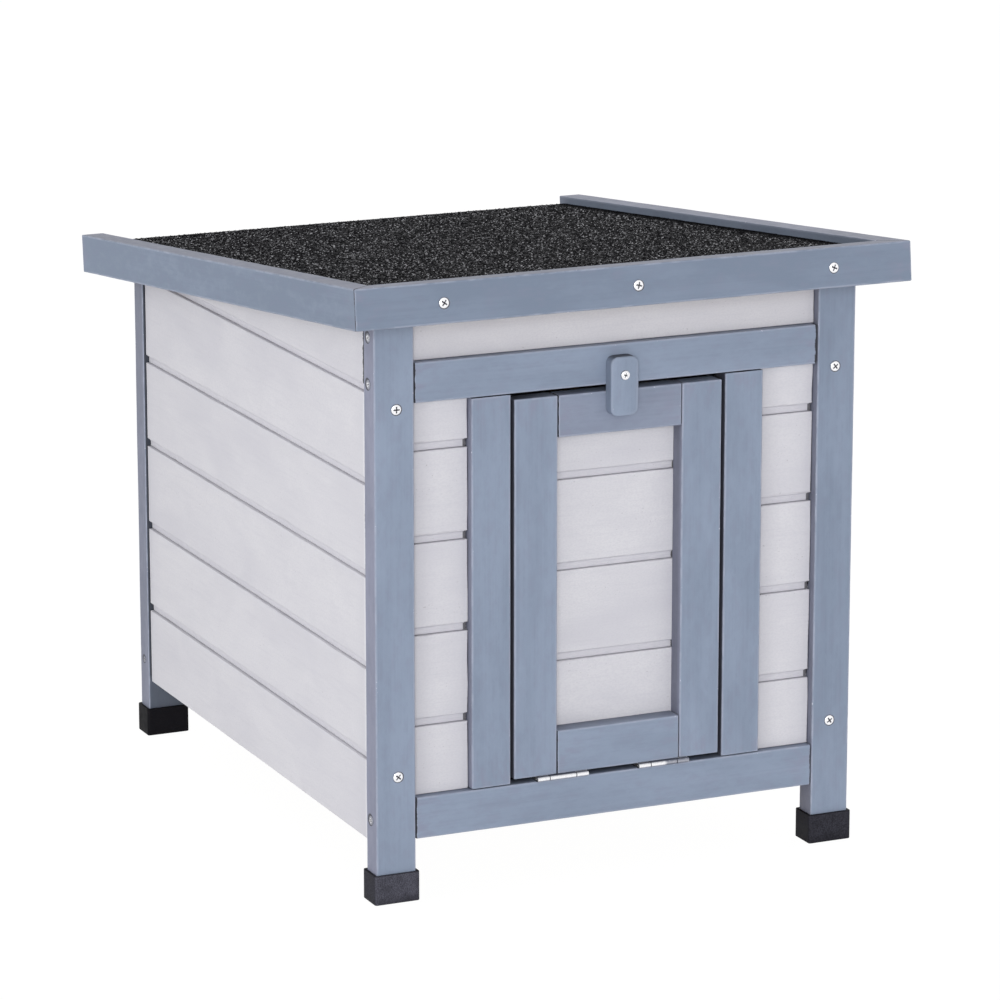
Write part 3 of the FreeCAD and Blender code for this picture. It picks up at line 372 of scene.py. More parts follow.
def slate_felt(slot):
    """Felt = bitumen black, with chips of slate that each have a grey of their own."""
    finish = Finish(slot)
    chip, standing_and_shaded, _ = finish.parts(finish.attribute("finish"))
    cells = finish.node("TexVoronoi", "Color", {"Vector": finish.grain, "Scale": CHIP_CELLS})
    flat, glint, _ = finish.parts(cells)
    fine = finish.noise((1500, 1500, 1500))
    # Flat chips show neither on the standing chips nor in the painted shadow along the side fascias.
    lying = finish.times(finish.ramp(flat, 0.8, 1.0, 0.0, 0.4),
                         finish.ramp(standing_and_shaded, 0.0, 1.0, 1.0, 0.0))
    colour = finish.mix(finish.plus(chip, lying), BITUMEN, SLATE)
    height = finish.plus(flat, fine)
    return finish.done(colour, finish.ramp(glint, 0.0, 1.0, 0.7, 1.0),
                       finish.bump(height, FELT_RELIEF, 0.8), specular=0.02)

# %% [markdown]
# ## Black plastic
#
# The foot caps are moulded in black plastic with a slightly leathery skin. They are dusted, some
# caps more than others, and their fronts are lighter, partly dust and partly painted light. Painted
# shade darkens the lip round the top, and the rounded foot is a little darker.

# %% Black plastic
CAP_BLACK = seen(10, 9, 13)
CAP_DUST_AND_LIGHT = seen(101, 101, 113)
SKIN_RELIEF = 0.15 * MM


def cap_plastic(slot):
    """Plastic = black, grey on the front in fine speckles, partly dust and partly painted light, with
    a leathery skin.
    """
    finish = Finish(slot)
    wear, _, front = finish.parts(finish.attribute("finish"))
    patch = finish.noise((90, 90, 90), detail=3.0, rough=0.6)
    skin = finish.noise((1100, 1100, 1100), detail=3.0, rough=0.7)
    # The front is lighter: partly dust and partly painted light from the front.
    dust_and_light = finish.times(finish.ramp(front, 0.0, 1.0, 0.45, 1.0),
                          finish.ramp(patch, 0.3, 0.6, 0.6, 0.85))
    dust_and_light = finish.times(dust_and_light, finish.amount("tone"))
    speckled = finish.times(dust_and_light, finish.ramp(skin, 0.35, 0.65, 0.4, 1.0))
    colour = finish.mix(speckled, CAP_BLACK, CAP_DUST_AND_LIGHT)
    # Painted shade darkens the lip round the top; the rounded foot is a little darker too.
    colour = finish.mix(finish.times(wear, 0.6), colour, CAP_BLACK)
    return finish.done(colour, finish.ramp(patch, 0.3, 0.7, 0.5, 0.65),
                       finish.bump(skin, SKIN_RELIEF, 0.5), specular=0.06)

# %% [markdown]
# ## Zinc
#
# The screws and hinges are plated with zinc: bright, but a little cloudy. A mirror-like metal would
# only show the white studio, so painted shade darkens the crosses, the holes round the heads, and
# the splits, tops and undersides of the knuckles.

# %% Zinc
ZINC = seen(252, 252, 254)
ZINC_CLOUDY = seen(218, 216, 222)
ZINC_SMEAR_AND_SHADE = seen(132, 135, 148)
ZINC_RECESS_SHADE = seen(66, 68, 78)
ZINC_RELIEF = 0.04 * MM


def zinc_plate(slot):
    """Zinc = bright metal, faintly clouded, duller where stain got at it, darker and duller in painted
    shade.
    """
    finish = Finish(slot)
    recess_shade, dull, _ = finish.parts(finish.attribute("finish"))
    cloud = finish.noise((500, 500, 500), detail=3.0, rough=0.6)
    colour = finish.mix(finish.ramp(cloud, 0.5, 0.8), ZINC, ZINC_CLOUDY)
    colour = finish.mix(finish.times(dull, finish.ramp(cloud, 0.25, 0.5, 0.6, 1.0)), colour, ZINC_SMEAR_AND_SHADE)
    # Painted shade in crosses, in holes round heads and at the splits and edges of knuckles.
    colour = finish.mix(recess_shade, colour, ZINC_RECESS_SHADE)
    return finish.done(colour, finish.ramp(dull, 0.0, 1.0, 0.22, 0.5),
                       finish.bump(cloud, ZINC_RELIEF, 0.3), metallic=0.85)

# %% Mix the finishes
recipes = {"blue_grey_wood": blue_grey_stain, "white_wood": white_wash, "bare_wood": bare_pine,
           "roofing_felt": slate_felt, "black_plastic": cap_plastic, "zinc_steel": zinc_plate}
finishes = {slot: recipe(slot) for slot, recipe in recipes.items()}
print("finishes:", ", ".join(finishes))

# %% [markdown]
# ## Timber as a carried section
#
# Every stick of the house is one section carried along a straight line. A box with a bevel would
# do for a plain rail, but not for a tongued board, a mitred fascia or a post cut to the roof's
# slope. A section on a grid covers them all, and its points can carry what the finishes ask for:
# their place in the grain, how close they are to an edge, and how close they are to an end.

# %% Soft corners
FLANK = 1.0 * MM
CORNER_SHARE = 0.4
FLANK_SHARE = 0.3


def eased(corners, radius, arc=4, flat=4):
    """A closed section with soft corners, and how near each of its points is to a corner.

    A corner P becomes the curve (1-t)^2 A + 2t(1-t) P + t^2 B, where A and B lie one radius
    before and after P on its two sides. Each flat between two corners gets evenly spaced points,
    the outer ones a flank away from the corners.
    """
    corners = np.asarray(corners, float)
    to_last = np.roll(corners, 1, axis=0) - corners
    to_next = np.roll(corners, -1, axis=0) - corners
    reach_last = np.linalg.norm(to_last, axis=1, keepdims=True)
    reach_next = np.linalg.norm(to_next, axis=1, keepdims=True)
    soft = np.minimum(radius, CORNER_SHARE * np.minimum(reach_last, reach_next))
    first = corners + to_last / reach_last * soft
    last = corners + to_next / reach_next * soft
    t = np.linspace(0, 1, arc)[None, :, None]
    bent = 2 * t * (1 - t) * corners[:, None]
    curves = (1 - t) ** 2 * first[:, None] + bent + t**2 * last[:, None]
    run = np.roll(first, -1, axis=0) - last
    margin = np.minimum(FLANK / np.linalg.norm(run, axis=1, keepdims=True), FLANK_SHARE)
    t = margin + (1 - 2 * margin) * np.linspace(0, 1, flat)[None, :]
    flats = last[:, None] + run[:, None] * t[..., None]
    section = np.concatenate([curves, flats], axis=1).reshape(-1, 2)
    near = np.concatenate([np.ones((len(corners), arc)), np.zeros((len(corners), flat))], axis=1)
    return section, near.ravel()


def outward(section):
    """Unit normals of a closed section: the chord of a point's neighbours, turned a quarter."""
    chord = np.roll(section, -1, axis=0) - np.roll(section, 1, axis=0)
    turned = np.stack([chord[:, 1], -chord[:, 0]], axis=1) * np.sign(signed_area(section))
    return turned / np.linalg.norm(turned, axis=1, keepdims=True)


def signed_area(section):
    """Half the sum of the cross products of neighbouring points."""
    after = np.roll(section, -1, axis=0)
    return 0.5 * np.sum(section[:, 0] * after[:, 1] - section[:, 1] * after[:, 0])

# %% [markdown]
# Rings of points become a closed shell: a four-sided face between each two neighbours on two
# neighbouring rings, and one many-sided face over the first ring and over the last. The shell
# must face outwards, whichever way its section and its axes turn, so both are looked at first.

# %% Rings to a closed shell
TIP_STEPS = 4


def ring_faces(rings, count):
    """Four-sided faces between neighbouring rings of count points, closed round each ring."""
    ring, place = np.meshgrid(np.arange(rings - 1), np.arange(count), indexing="ij")
    after = (place + 1) % count
    low, high = ring * count, (ring + 1) * count
    return np.stack([low + place, low + after, high + after, high + place], axis=-1).reshape(-1, 4)


def carried(section, inset, along, axes, origin=(0.0, 0.0, 0.0)):
    """Points and faces of a section carried along a line.

    P(i, p) = origin + A a + B b + C along(i, p), where (a, b) is the section's point p, moved
    inwards along its normal by inset(i, p), and A, B and C are the three axes.
    """
    axes = np.asarray(axes, float)
    place = section[None] - outward(section)[None] * inset[..., None]
    points = origin + place @ axes[:2] + along[..., None] * axes[2]
    rings, count = along.shape
    faces = ring_faces(rings, count).tolist()
    faces += [list(range(count))[::-1], list(range((rings - 1) * count, rings * count))]
    if np.sign(signed_area(section)) * np.linalg.det(axes) < 0:
        faces = [face[::-1] for face in faces]
    return points.reshape(-1, 3), faces


def quarter(radius, steps):
    """A quarter of a circle as an inset radius (1 - sin) and a shift radius (1 - cos)."""
    turn = np.linspace(0, np.pi / 2, steps)
    return radius * (1 - np.sin(turn)), radius * (1 - np.cos(turn))


def rounded_end(radius):
    """Insets and shifts of the rings that round an end, with a flank before and after them."""
    inset, shift = quarter(radius, TIP_STEPS)
    inset = np.concatenate([[radius + 0.8 * FLANK], inset, [0.0]])
    shift = np.concatenate([[0.0], shift, [radius + FLANK]])
    near = np.concatenate([[0.0], np.ones(TIP_STEPS), [0.0]])
    return inset, shift, near


def on_rings(values, section):
    """One value per ring, repeated for each point of the section."""
    return np.broadcast_to(np.asarray(values)[:, None], (len(values), len(section)))

# %% [markdown]
# Sawn and sanded timber is never quite flat: a hand laid on it feels long, low waves. A few sine
# waves of random length and phase, a tenth of a millimetre high, give a face that catches soft
# light unevenly. The same step nicks a few points of the edges and leaves sawn ends ragged.

# %% A stick of timber
STATION = 6.0 * MM
WAVE_HEIGHT = 0.10 * MM
WAVE_LENGTHS = (60 * MM, 220 * MM)
WAVE_WIDTHS = (30 * MM, 90 * MM)
NICK_DEPTH = 0.45 * MM
NICK_SHARE = 0.03
EASE = 0.9 * MM
TIP = 0.8 * MM
WAVES = 5
GRAIN_SHIFT = 3.0


def dice(name):
    """Random numbers that are the same on every run for a piece of this name."""
    return np.random.default_rng(zlib.crc32(name.encode()))


def waves(luck, along, across):
    """Height of the waves: the mean of sines of random length, direction and phase."""
    lengths = luck.uniform(*WAVE_LENGTHS, WAVES)
    widths = luck.uniform(*WAVE_WIDTHS, (WAVES, 2)) * luck.choice([-1, 1], (WAVES, 2))
    phases = luck.uniform(0, 2 * np.pi, WAVES)
    sway = along[..., None] / lengths + np.sum(across[:, None] / widths, axis=-1)
    return WAVE_HEIGHT * np.mean(np.sin(2 * np.pi * sway + phases), axis=-1)


def stick(name, corners, start, end, axes, ease=EASE, tip=TIP, ragged=0.0, arc=4,
          flat=4, origin=(0.0, 0.0, 0.0), shade=None, shape=None, dirt=None, joints=(0.0, 0.0),
          notch=0.0):
    """A straight stick: the eased section carried from a start plane to an end plane.

    A plane is given as (k, ka, kb) and lies at k + ka a + kb b along the stick. shade gives each
    point of the section the third number of its finish, from its place and its normal. A further
    function gives painted shade and grime from the same two and the way from the start. shape may
    move the points. joints are the widths of the dark lines at the start and at the end, and a
    further width of painted shade adds to the one at the end on the shaded part of the section.
    """
    luck = dice(name)
    section, near_edge = eased(corners, ease, arc, flat)
    first = start[0] + section @ np.array(start[1:])
    last = end[0] + section @ np.array(end[1:])
    inset, shift, near_tip = rounded_end(tip)
    count = max(int((last - first).mean() / STATION), 2)
    share = np.linspace(0, 1, count + 2)[1:-1]
    room = tip + FLANK
    weight = np.concatenate([np.zeros_like(shift), share, np.ones_like(shift)])
    offset = np.concatenate([shift, room * (1 - 2 * share), -shift[::-1]])
    inset = np.concatenate([inset, np.zeros(count), inset[::-1]])
    near_tip = np.concatenate([near_tip, np.zeros(count), near_tip[::-1]])
    along = first + (last - first) * weight[:, None] + offset[:, None]
    if ragged:
        fray = luck.uniform(0, ragged, (2, len(section)))
        along = along + fray[0] * (weight == 0)[:, None] - fray[1] * (weight == 1)[:, None]
    depth = inset[:, None] - waves(luck, along, section)
    nicked = luck.random(along.shape) < NICK_SHARE
    depth = depth + nicked * near_edge * luck.uniform(0, NICK_DEPTH, along.shape)
    points, faces = carried(section, depth, along, axes, origin)
    if shape is not None:
        points = shape(points)
    to_end = np.minimum(along - first, last - along)
    wear = np.maximum(near_edge[None], near_tip[:, None])
    third = np.zeros(len(section)) if shade is None else shade(section, outward(section))
    # Painted shade and grime at each point, from the function given for them.
    dirt_and_shade_values = 0.0 if dirt is None else dirt(section, outward(section), along - first)
    finish = np.stack([wear, to_end, np.broadcast_to(third, wear.shape)], axis=-1)
    joint = np.where(along - first < last - along, joints[0], joints[1] + notch * third)
    grain = np.stack([along, *np.broadcast_arrays(section[:, 0], section[:, 1], along)[:2]], axis=-1)
    grain = grain + luck.uniform(0, GRAIN_SHIFT, 3)
    return {"points": points, "faces": faces, "grain": grain.reshape(-1, 3),
            "finish": finish.reshape(-1, 3), "dirt": np.broadcast_to(dirt_and_shade_values, wear.shape).ravel(),
            "joint": joint.ravel()}

# %% [markdown]
# A finished piece takes its place in the house by its node: it rides on the node's body, stands
# for the node, and wears the finish of the node's material slot. Several shells of one node, such
# as the narrow boards beside the door, become one piece. Each piece carries a tone of its own: on
# stained sticks it is how much stain the wood took, on foot caps how much dust and painted light
# their fronts get, and on washed boards how thick and bright the wash lies at the ends.

# %% From shells to pieces
SHARP = np.radians(38)
TONES = {"front_left_post": 0.37, "front_right_post": 0.66, "rear_left_post": 0.92,
         "front_fascia": 0.97, "left_fascia": 1.0, "right_fascia": 0.8, "door_top_rail": 0.62,
         "front_left_jamb": 0.58, "front_right_jamb": 0.58, "front_left_foot_cap": 1.0,
         "front_right_foot_cap": 0.4, "rear_left_foot_cap": 0.05, "rear_right_foot_cap": 0.3}
TONE = 0.50
THICK_ENDS, THIN_ENDS = 0.6, 0.1


def stacked(shells):
    """All shells as one: their points one after another, and each face's numbers moved on."""
    starts = np.cumsum([0] + [len(shell["points"]) for shell in shells])
    faces = [[place + start for place in face]
             for shell, start in zip(shells, starts.tolist()) for face in shell["faces"]]
    clean = [{**dict.fromkeys(("dirt", "joint"), np.zeros(len(shell["points"]))), **shell}
             for shell in shells]
    return {"faces": faces, **{key: np.concatenate([shell[key] for shell in clean])
                               for key in ("points", "grain", "finish", "dirt", "joint")}}


def piece(name, shells, node):
    """Make the mesh, carry the attributes over, and seat the piece in the frame."""
    whole = stacked(shells)
    mesh = bpy.data.meshes.new(name)
    mesh.from_pydata(whole["points"], [], whole["faces"])
    for key in ("grain", "finish"):
        values = mesh.attributes.new(key, "FLOAT_VECTOR", "POINT")
        values.data.foreach_set("vector", whole[key].astype(np.float32).ravel())
    slot = slot_of_node[node]
    tone = TONES.get(node, TONE)
    if slot == "white_wood":
        tone = THICK_ENDS if "side_board" in node else THIN_ENDS
    whole["tone"] = np.full(len(whole["points"]), tone)
    for key in ("dirt", "joint", "tone"):
        values = mesh.attributes.new(key, "FLOAT", "POINT")
        values.data.foreach_set("value", whole[key].astype(np.float32))
    mesh.shade_smooth()
    mesh.set_sharp_from_angle(angle=SHARP)
    made = bpy.data.objects.new(name, mesh)
    bpy.context.scene.collection.objects.link(made)
    mesh.materials.append(finishes[slot])
    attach(made, body_of_node[node])
    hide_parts(node)
    return made


def bounds_of(node):
    """The lowest and the highest corner of a node's box."""
    low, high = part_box(node)
    return np.array(low), np.array(high)

# %% [markdown]
# ## Posts, rails and jambs
#
# These are plain sticks of planed softwood. Their section is the rectangle of the node's box, and
# their grain runs along the node's longest side. The posts are cut at the top to the slope of the
# roof, so the far plane of a post leans.

# %% Plain sticks
ROOF_SLOPE = np.tan(np.radians(6.0))
X, Y, Z = np.eye(3)
AXES = {"x": (Y, Z, X), "y": (X, Z, Y), "z": (X, Y, Z)}
ORDER = {"x": (1, 2, 0), "y": (0, 2, 1), "z": (0, 1, 2)}


def narrow_sides(corners, most=1.0):
    """Shading of a rectangle: the most on its narrow sides, and none on its broad ones."""
    width, height = np.ptp(np.asarray(corners), axis=0)
    column = 0 if height < width else 1
    return lambda section, normals: most * normals[:, column] ** 2


def rectangle(low, high):
    """The four corners of a rectangle between its lowest and its highest corner."""
    return [(low[0], low[1]), (high[0], low[1]), (high[0], high[1]), (low[0], high[1])]


def plain_stick(node, run, end_lean=(0.0, 0.0), shade=narrow_sides, **options):
    """A stick that fills its node's box, with its grain along the axis named by run."""
    low, high = bounds_of(node)
    order = list(ORDER[run])
    low, high = low[order], high[order]
    corners = rectangle(low, high)
    end = (high[2] - np.dot(end_lean, low[:2]), *end_lean)
    shell = stick(node, corners, (low[2], 0, 0), end, AXES[run], shade=shade(corners), **options)
    return piece("stained_" + node, [shell], node)


def thin_rail(corners):
    """Shading of a rail: its narrow sides look down or up, and are only a little thinner."""
    return narrow_sides(corners, 0.3)


def worn_rail(corners):
    """Shading of the door's top rail: its stain is as thin on the broad sides as on the narrow."""
    return lambda section, normals: np.full(len(section), 0.4)

# %% [markdown]
# Painted shade darkens the wood where two pieces meet. A post is dark, partly with dirt, on the side
# that the boards butt against, and a little on its inner side. A rail or a jamb that stands proud of
# its neighbours gets painted shade on its narrow sides, from just behind its front edge, at once
# beside an open gap and slowly beside a shallow step.

# %% Painted shade on posts, rails and jambs
SQUARE_ON = 0.9
FACING = 0.7
# Painted shade on a post: beside the boards, more above their lower edge, and on its inner side.
NOOK = 0.62
NOOK_DEEP = 0.25
NOOK_INNER = 0.2
NOOK_LIFT = 3.0 * MM
nook_start = bounds_of("left_side_board_1")[0][2] - bounds_of("rear_left_post")[0][2] + NOOK_LIFT


def nook(turn, inwards):
    """Painted shade, with some grime, on the two sides of a post that look at the boards, less of it
    below their lower edge.
    """
    def dirt(section, normals, from_start):
        butted = (NOOK + NOOK_DEEP * (from_start > nook_start)) * (normals[:, 1] * turn > SQUARE_ON)
        return butted + NOOK_INNER * (normals[:, 0] * inwards > SQUARE_ON)
    return dirt


def recessed(column, low, high):
    """Painted shade on a stick's two narrow sides, which look along a column of the section.

    Each side has a strength and a reach: none at the front arris, and all of it a reach behind.
    """
    def dirt(section, normals, from_start):
        depth = section[:, 1 - column] - section[:, 1 - column].min() - EASE
        first = low[0] * (normals[:, column] < -FACING) * np.clip(depth / low[1], 0, 1)
        return first + high[0] * (normals[:, column] > FACING) * np.clip(depth / high[1], 0, 1)
    return dirt

# %% Seat posts, rails and jambs
SOFT_REACH = 4.0 * MM
GAP_REACH = 0.8 * MM
TOP_REACH = 17.0 * MM
JOINT = 1.0 * MM
DOOR_JOINT = 0.5 * MM
BUTT = 0.3 * MM
# Strength and reach of the painted shade on a narrow side: under a rail, beside a step, a panel, a
# gap.
UNDERSIDE = (0.5, SOFT_REACH)
STEP = (0.12, SOFT_REACH)
PANEL = (0.35, SOFT_REACH)
GAP = (0.75, GAP_REACH)

for end, turn in (("front", 1), ("rear", -1)):
    for side, inwards in (("left", 1), ("right", -1)):
        plain_stick(f"{end}_{side}_post", "z", end_lean=(0.0, -ROOF_SLOPE), dirt=nook(turn, inwards))
# Rails get painted shade on their undersides and upper sides, jambs and stiles on the sides by their
# gaps.
for node, top, joints, shade in (
        ("front_lower_rail", (0.95, TOP_REACH), (JOINT, JOINT), thin_rail),
        ("front_upper_rail", (0.8, TOP_REACH), (JOINT, 2 * JOINT), thin_rail),
        ("rear_lower_rail", (0.8, TOP_REACH), (JOINT, JOINT), thin_rail),
        ("door_bottom_rail", (0.6, TOP_REACH), (DOOR_JOINT, DOOR_JOINT), thin_rail),
        ("door_top_rail", (0.1, SOFT_REACH), (DOOR_JOINT, DOOR_JOINT), worn_rail)):
    plain_stick(node, "x", shade=shade, dirt=recessed(1, UNDERSIDE, top), joints=joints)
for node, left, right, joint in (("front_left_jamb", STEP, GAP, BUTT),
                                 ("front_right_jamb", GAP, STEP, BUTT),
                                 ("door_left_stile", GAP, PANEL, 0.0),
                                 ("door_right_stile", PANEL, GAP, 0.0)):
    plain_stick(node, "z", dirt=recessed(0, left, right), joints=(joint, joint))

# %% [markdown]
# The rear upper rail lies under the roof, so its upper side is planed to the roof's slope.

# %% Rear upper rail
low, high = bounds_of("rear_upper_rail")
drop = ROOF_SLOPE * (high[1] - low[1])
corners = [(low[1], low[2]), (high[1], low[2]), (high[1], high[2] - drop), (low[1], high[2])]
shell = stick("rear_upper_rail", corners, (low[0], 0, 0), (high[0], 0, 0), AXES["x"],
              shade=narrow_sides(corners))
piece("stained_rear_upper_rail", [shell], "rear_upper_rail")
print("the rear rail falls by", round(drop / MM, 1), "mm over its thickness")

# %% [markdown]
# ## Tongued boards
#
# The walls are clad with tongued boards. Each board but the lowest has a set-back band along its
# lower edge, so a shadow line runs between two boards, and a tongue on its upper edge reaches up
# into the next one. The section has all of it, though the tongue is hidden, because the ends of
# the boards show it when the door is open.

# %% Section of a board
SEAM_GAP = 0.3 * MM
BAND_HEIGHT = 6.6 * MM
BAND_DEPTH = 3.0 * MM
BAND_CHAMFER = 1.0 * MM
TONGUE = 3.0 * MM
TONGUE_LENGTH = 5.0 * MM
TONGUE_GAP = 0.3 * MM
BOARD = 12.0 * MM
BOARD_EASE = 0.35 * MM
BOARD_TIP = 0.3 * MM
TORN_END = 0.8 * MM
HAIR = 0.2 * MM
tongue_front = (BAND_DEPTH + BOARD - TONGUE) / 2
tongue_back = tongue_front + TONGUE


def board_corners(face, inwards, seam, top, banded, tongued):
    """Corners of a board: depth from its face, counted inwards, and height above the ground."""
    if banded:
        low = [(BAND_DEPTH, seam + SEAM_GAP), (BAND_DEPTH, seam + BAND_HEIGHT),
               (BAND_CHAMFER, seam + BAND_HEIGHT), (0.0, seam + BAND_HEIGHT + BAND_CHAMFER)]
        deep = seam + TONGUE_LENGTH + TONGUE_GAP + SEAM_GAP
        groove = [(BOARD, seam + SEAM_GAP), (tongue_back + TONGUE_GAP, seam + SEAM_GAP),
                  (tongue_back + TONGUE_GAP, deep), (tongue_front - TONGUE_GAP, deep),
                  (tongue_front - TONGUE_GAP, seam + SEAM_GAP)]
    else:
        low, groove = [(0.0, seam)], [(BOARD, seam)]
    upper = [(0.0, top)]
    if tongued:
        upper += [(tongue_front, top), (tongue_front, top + TONGUE_LENGTH),
                  (tongue_back, top + TONGUE_LENGTH), (tongue_back, top)]
    corners = np.array(low + upper + [(BOARD, top)] + groove)
    corners[:, 0] = face + inwards * corners[:, 0]
    return corners


def band_shade(face, seam):
    """Shading of a board: one on its set-back band, zero on its face."""
    def shade(section, normals):
        depth = np.abs(section[:, 0] - face)
        set_back = (depth > HAIR) & (depth < BAND_DEPTH + HAIR / 2)
        return (set_back & (section[:, 1] < seam + BAND_HEIGHT + BAND_CHAMFER)).astype(float)
    return shade


# Painted shade on a board's upper ledge, in front of the next board's band, and near its frame.
LEDGE_SHADE = 0.2
LEDGE_SHADE_START = 1.2 * MM
LEDGE_DARK = 3.0 * MM
SHADED_REACH = 20.0 * MM
BACK_GREYING_BEND = 1.5


def ledge(face, shaded, greyer_back):
    """Painted shade on the top edge of a board: none at its arris, more towards the next one's band.

    A shaded board also gets painted shade where it comes out from behind its frame, over its
    first centimetres, and the last number makes it greyer towards its far end.
    """
    def dirt(section, normals, from_start):
        depth = np.abs(section[:, 0] - face)
        behind = np.clip((depth - LEDGE_SHADE_START) / (LEDGE_DARK - LEDGE_SHADE_START), 0, 1)
        top = LEDGE_SHADE * (normals[:, 1] > FACING) * behind
        near_frame = shaded * np.clip(1 - from_start / SHADED_REACH, 0, 1)
        return top + near_frame + greyer_back * np.clip(from_start / from_start.max(), 0, 1) ** BACK_GREYING_BEND
    return dirt


def board(name, face, inwards, run, start, end, seam, top, banded, tongued, shaded=0.0, greyer_back=0.0,
          **options):
    """A tongued board from start to end, with sharp arrises and torn ends."""
    return stick(name, board_corners(face, inwards, seam, top, banded, tongued), (start, 0, 0),
                 (end, 0, 0), AXES[run], ease=BOARD_EASE, tip=BOARD_TIP, ragged=TORN_END, arc=3,
                 shade=band_shade(face, seam), dirt=ledge(face, shaded, greyer_back), **options)

# %% [markdown]
# A side wall is six boards high. The lowest has no band, and the uppermost is cut along the
# roof's slope: its height above the band shrinks evenly towards the back, as a taper does. Some
# boards carry a dark line at the front post, partly the joint and partly painted shade from the
# post's edge, and all are a little greyer at the back.

# %% Side walls
BOW = 2.2 * MM
# Side boards are darker towards the back, by this much at the far end.
BACK_GREYING = 0.12
# Width of the dark line at the front end of some side boards: the joint and the painted shade of the
# post's edge.
FRONT_JOINT_SHADE = {6: 2.4 * MM, 5: 0.3 * MM, 4: 0.5 * MM}


def walled(out, seam, top, fall):
    """Bow a board out at its front end, and lower it towards the back by the fall of its top.

    The bow is BOW (1 - s)^2 at a share s of the way back. Points above the band are lowered in
    proportion to their height, so that the top ends on the line that falls backwards.
    """
    fixed = seam + BAND_HEIGHT + BAND_CHAMFER

    def shape(points):
        behind = points[:, 1] - points[:, 1].min()
        side = points[:, 0] + out * BOW * (1 - behind / behind.max()) ** 2
        high = np.clip((points[:, 2] - fixed) / (top - fixed), 0, None)
        return np.stack([side, points[:, 1], points[:, 2] - high * fall * behind], axis=1)
    return shape


for side, inwards in (("left", 1), ("right", -1)):
    for number in range(1, 7):
        node = f"{side}_side_board_{number}"
        low, high = bounds_of(node)
        banded, tongued = number > 1, number < 6
        face = low[0] if side == "left" else high[0]
        seam = low[2] - SEAM_GAP * banded
        top = high[2] - TONGUE_LENGTH * tongued
        shape = walled(-inwards, seam, top, 0.0 if tongued else ROOF_SLOPE)
        shell = board(node, face, inwards, "y", low[1], high[1], seam, top, banded, tongued,
                      shape=shape, joints=(FRONT_JOINT_SHADE.get(number, 0.0), DOOR_JOINT), greyer_back=BACK_GREYING)
        piece("washed_" + node, [shell], node)
cover = bounds_of("left_side_board_3")[0][2] - bounds_of("left_side_board_2")[0][2]
print("each board covers", round(cover / MM, 1), "mm")

# %% [markdown]
# The boards beside the door, in the door and in the rear wall line up with each other. Beside the
# door and in the rear wall they are cut between two rails, so the lowest one starts on the rail
# and the last one ends below the next rail. At the right end of each band on the front a dark notch
# of painted shade shows, where the band runs on behind the stick beside it.

# %% Boards of the front, the door and the back
# Widths of the painted shade at the right end of each band on the front and in the door.
FRONT_SEAM = 146.4 * MM
NOTCH_SHADE = 3.8 * MM
DOOR_NOTCH_SHADE = 2.6 * MM
SHADED = 0.15


def filled(node, face, inwards, left, right, bottom, top, **options):
    """Boards that fill a panel from bottom to top, with the seams of the front wall."""
    seams = np.arange(FRONT_SEAM, top - BAND_HEIGHT, cover)
    starts = [bottom, *seams]
    stops = [*seams, top]
    return [board(f"{node}_{i}", face, inwards, "x", left, right, start, stop, i > 0, stop < top,
                  **options)
            for i, (start, stop) in enumerate(zip(starts, stops))]


for side in ("left", "right"):
    node = f"front_{side}_bay_boards"
    low, high = bounds_of(node)
    piece("washed_" + node, filled(node, low[1], 1, low[0], high[0], low[2], high[2],
                                     notch=NOTCH_SHADE, shaded=SHADED), node)
low, high = bounds_of("rear_boards")
piece("washed_rear_boards", filled("rear_boards", high[1], -1, low[0], high[0], low[2], high[2]),
      "rear_boards")
covered = bounds_of("door_board_1")[1][0] - bounds_of("door_right_stile")[0][0]
for number in range(1, 5):
    node = f"door_board_{number}"
    low, high = bounds_of(node)
    banded, tongued = number > 1, number < 4
    shell = board(node, low[1], 1, "x", low[0], high[0], low[2] - SEAM_GAP * banded,
                  high[2] - TONGUE_LENGTH * tongued, banded, tongued,
                  notch=covered + DOOR_NOTCH_SHADE, shaded=SHADED)
    piece("washed_" + node, [shell], node)

# %% [markdown]
# Above the door one board fills the wall up to the roof. It has no band, its upper edge is planed
# to the slope, and it is a little greyer than the others.

# %% Top board of the front
TOP_BOARD_GREY = 0.035
low, high = bounds_of("front_top_board")
rear_top = high[2] - ROOF_SLOPE * BOARD
corners = [(low[1], low[2]), (high[1], low[2]), (high[1], rear_top), (low[1], high[2])]
shell = stick("front_top_board", corners, (low[0], 0, 0), (high[0], 0, 0), AXES["x"],
              ease=BOARD_EASE, tip=BOARD_TIP, ragged=TORN_END / 2,
              dirt=lambda section, normals, from_start: TOP_BOARD_GREY)
piece("washed_front_top_board", [shell], "front_top_board")

# %% [markdown]
# ## Inside the walls
#
# Upright battens stand behind the corners of the side walls, where the screws in the posts bite.
# Two bearers carry the floor, which is a thin panel notched round the battens.

# %% Battens, bearers and floor
BATTEN = 35.0 * MM
BATTEN_EASE = 0.8 * MM


def upright(node, low, high):
    """A batten that stands behind a side wall and is cut to the roof's slope."""
    corners = rectangle(low, high)
    return stick(f"{node}_{low[1]:.3f}", corners, (low[2], 0, 0),
                 (high[2] + ROOF_SLOPE * low[1], 0, -ROOF_SLOPE), AXES["z"], ease=BATTEN_EASE)


for side in ("left", "right"):
    node = f"{side}_side_battens"
    low, high = bounds_of(node)
    fall = ROOF_SLOPE * (high[1] - BATTEN - low[1])
    front = upright(node, low, np.array([high[0], low[1] + BATTEN, high[2]]))
    rear = upright(node, np.array([low[0], high[1] - BATTEN, low[2]]), high - np.array([0, 0, fall]))
    piece("bare_" + node, [front, rear], node)

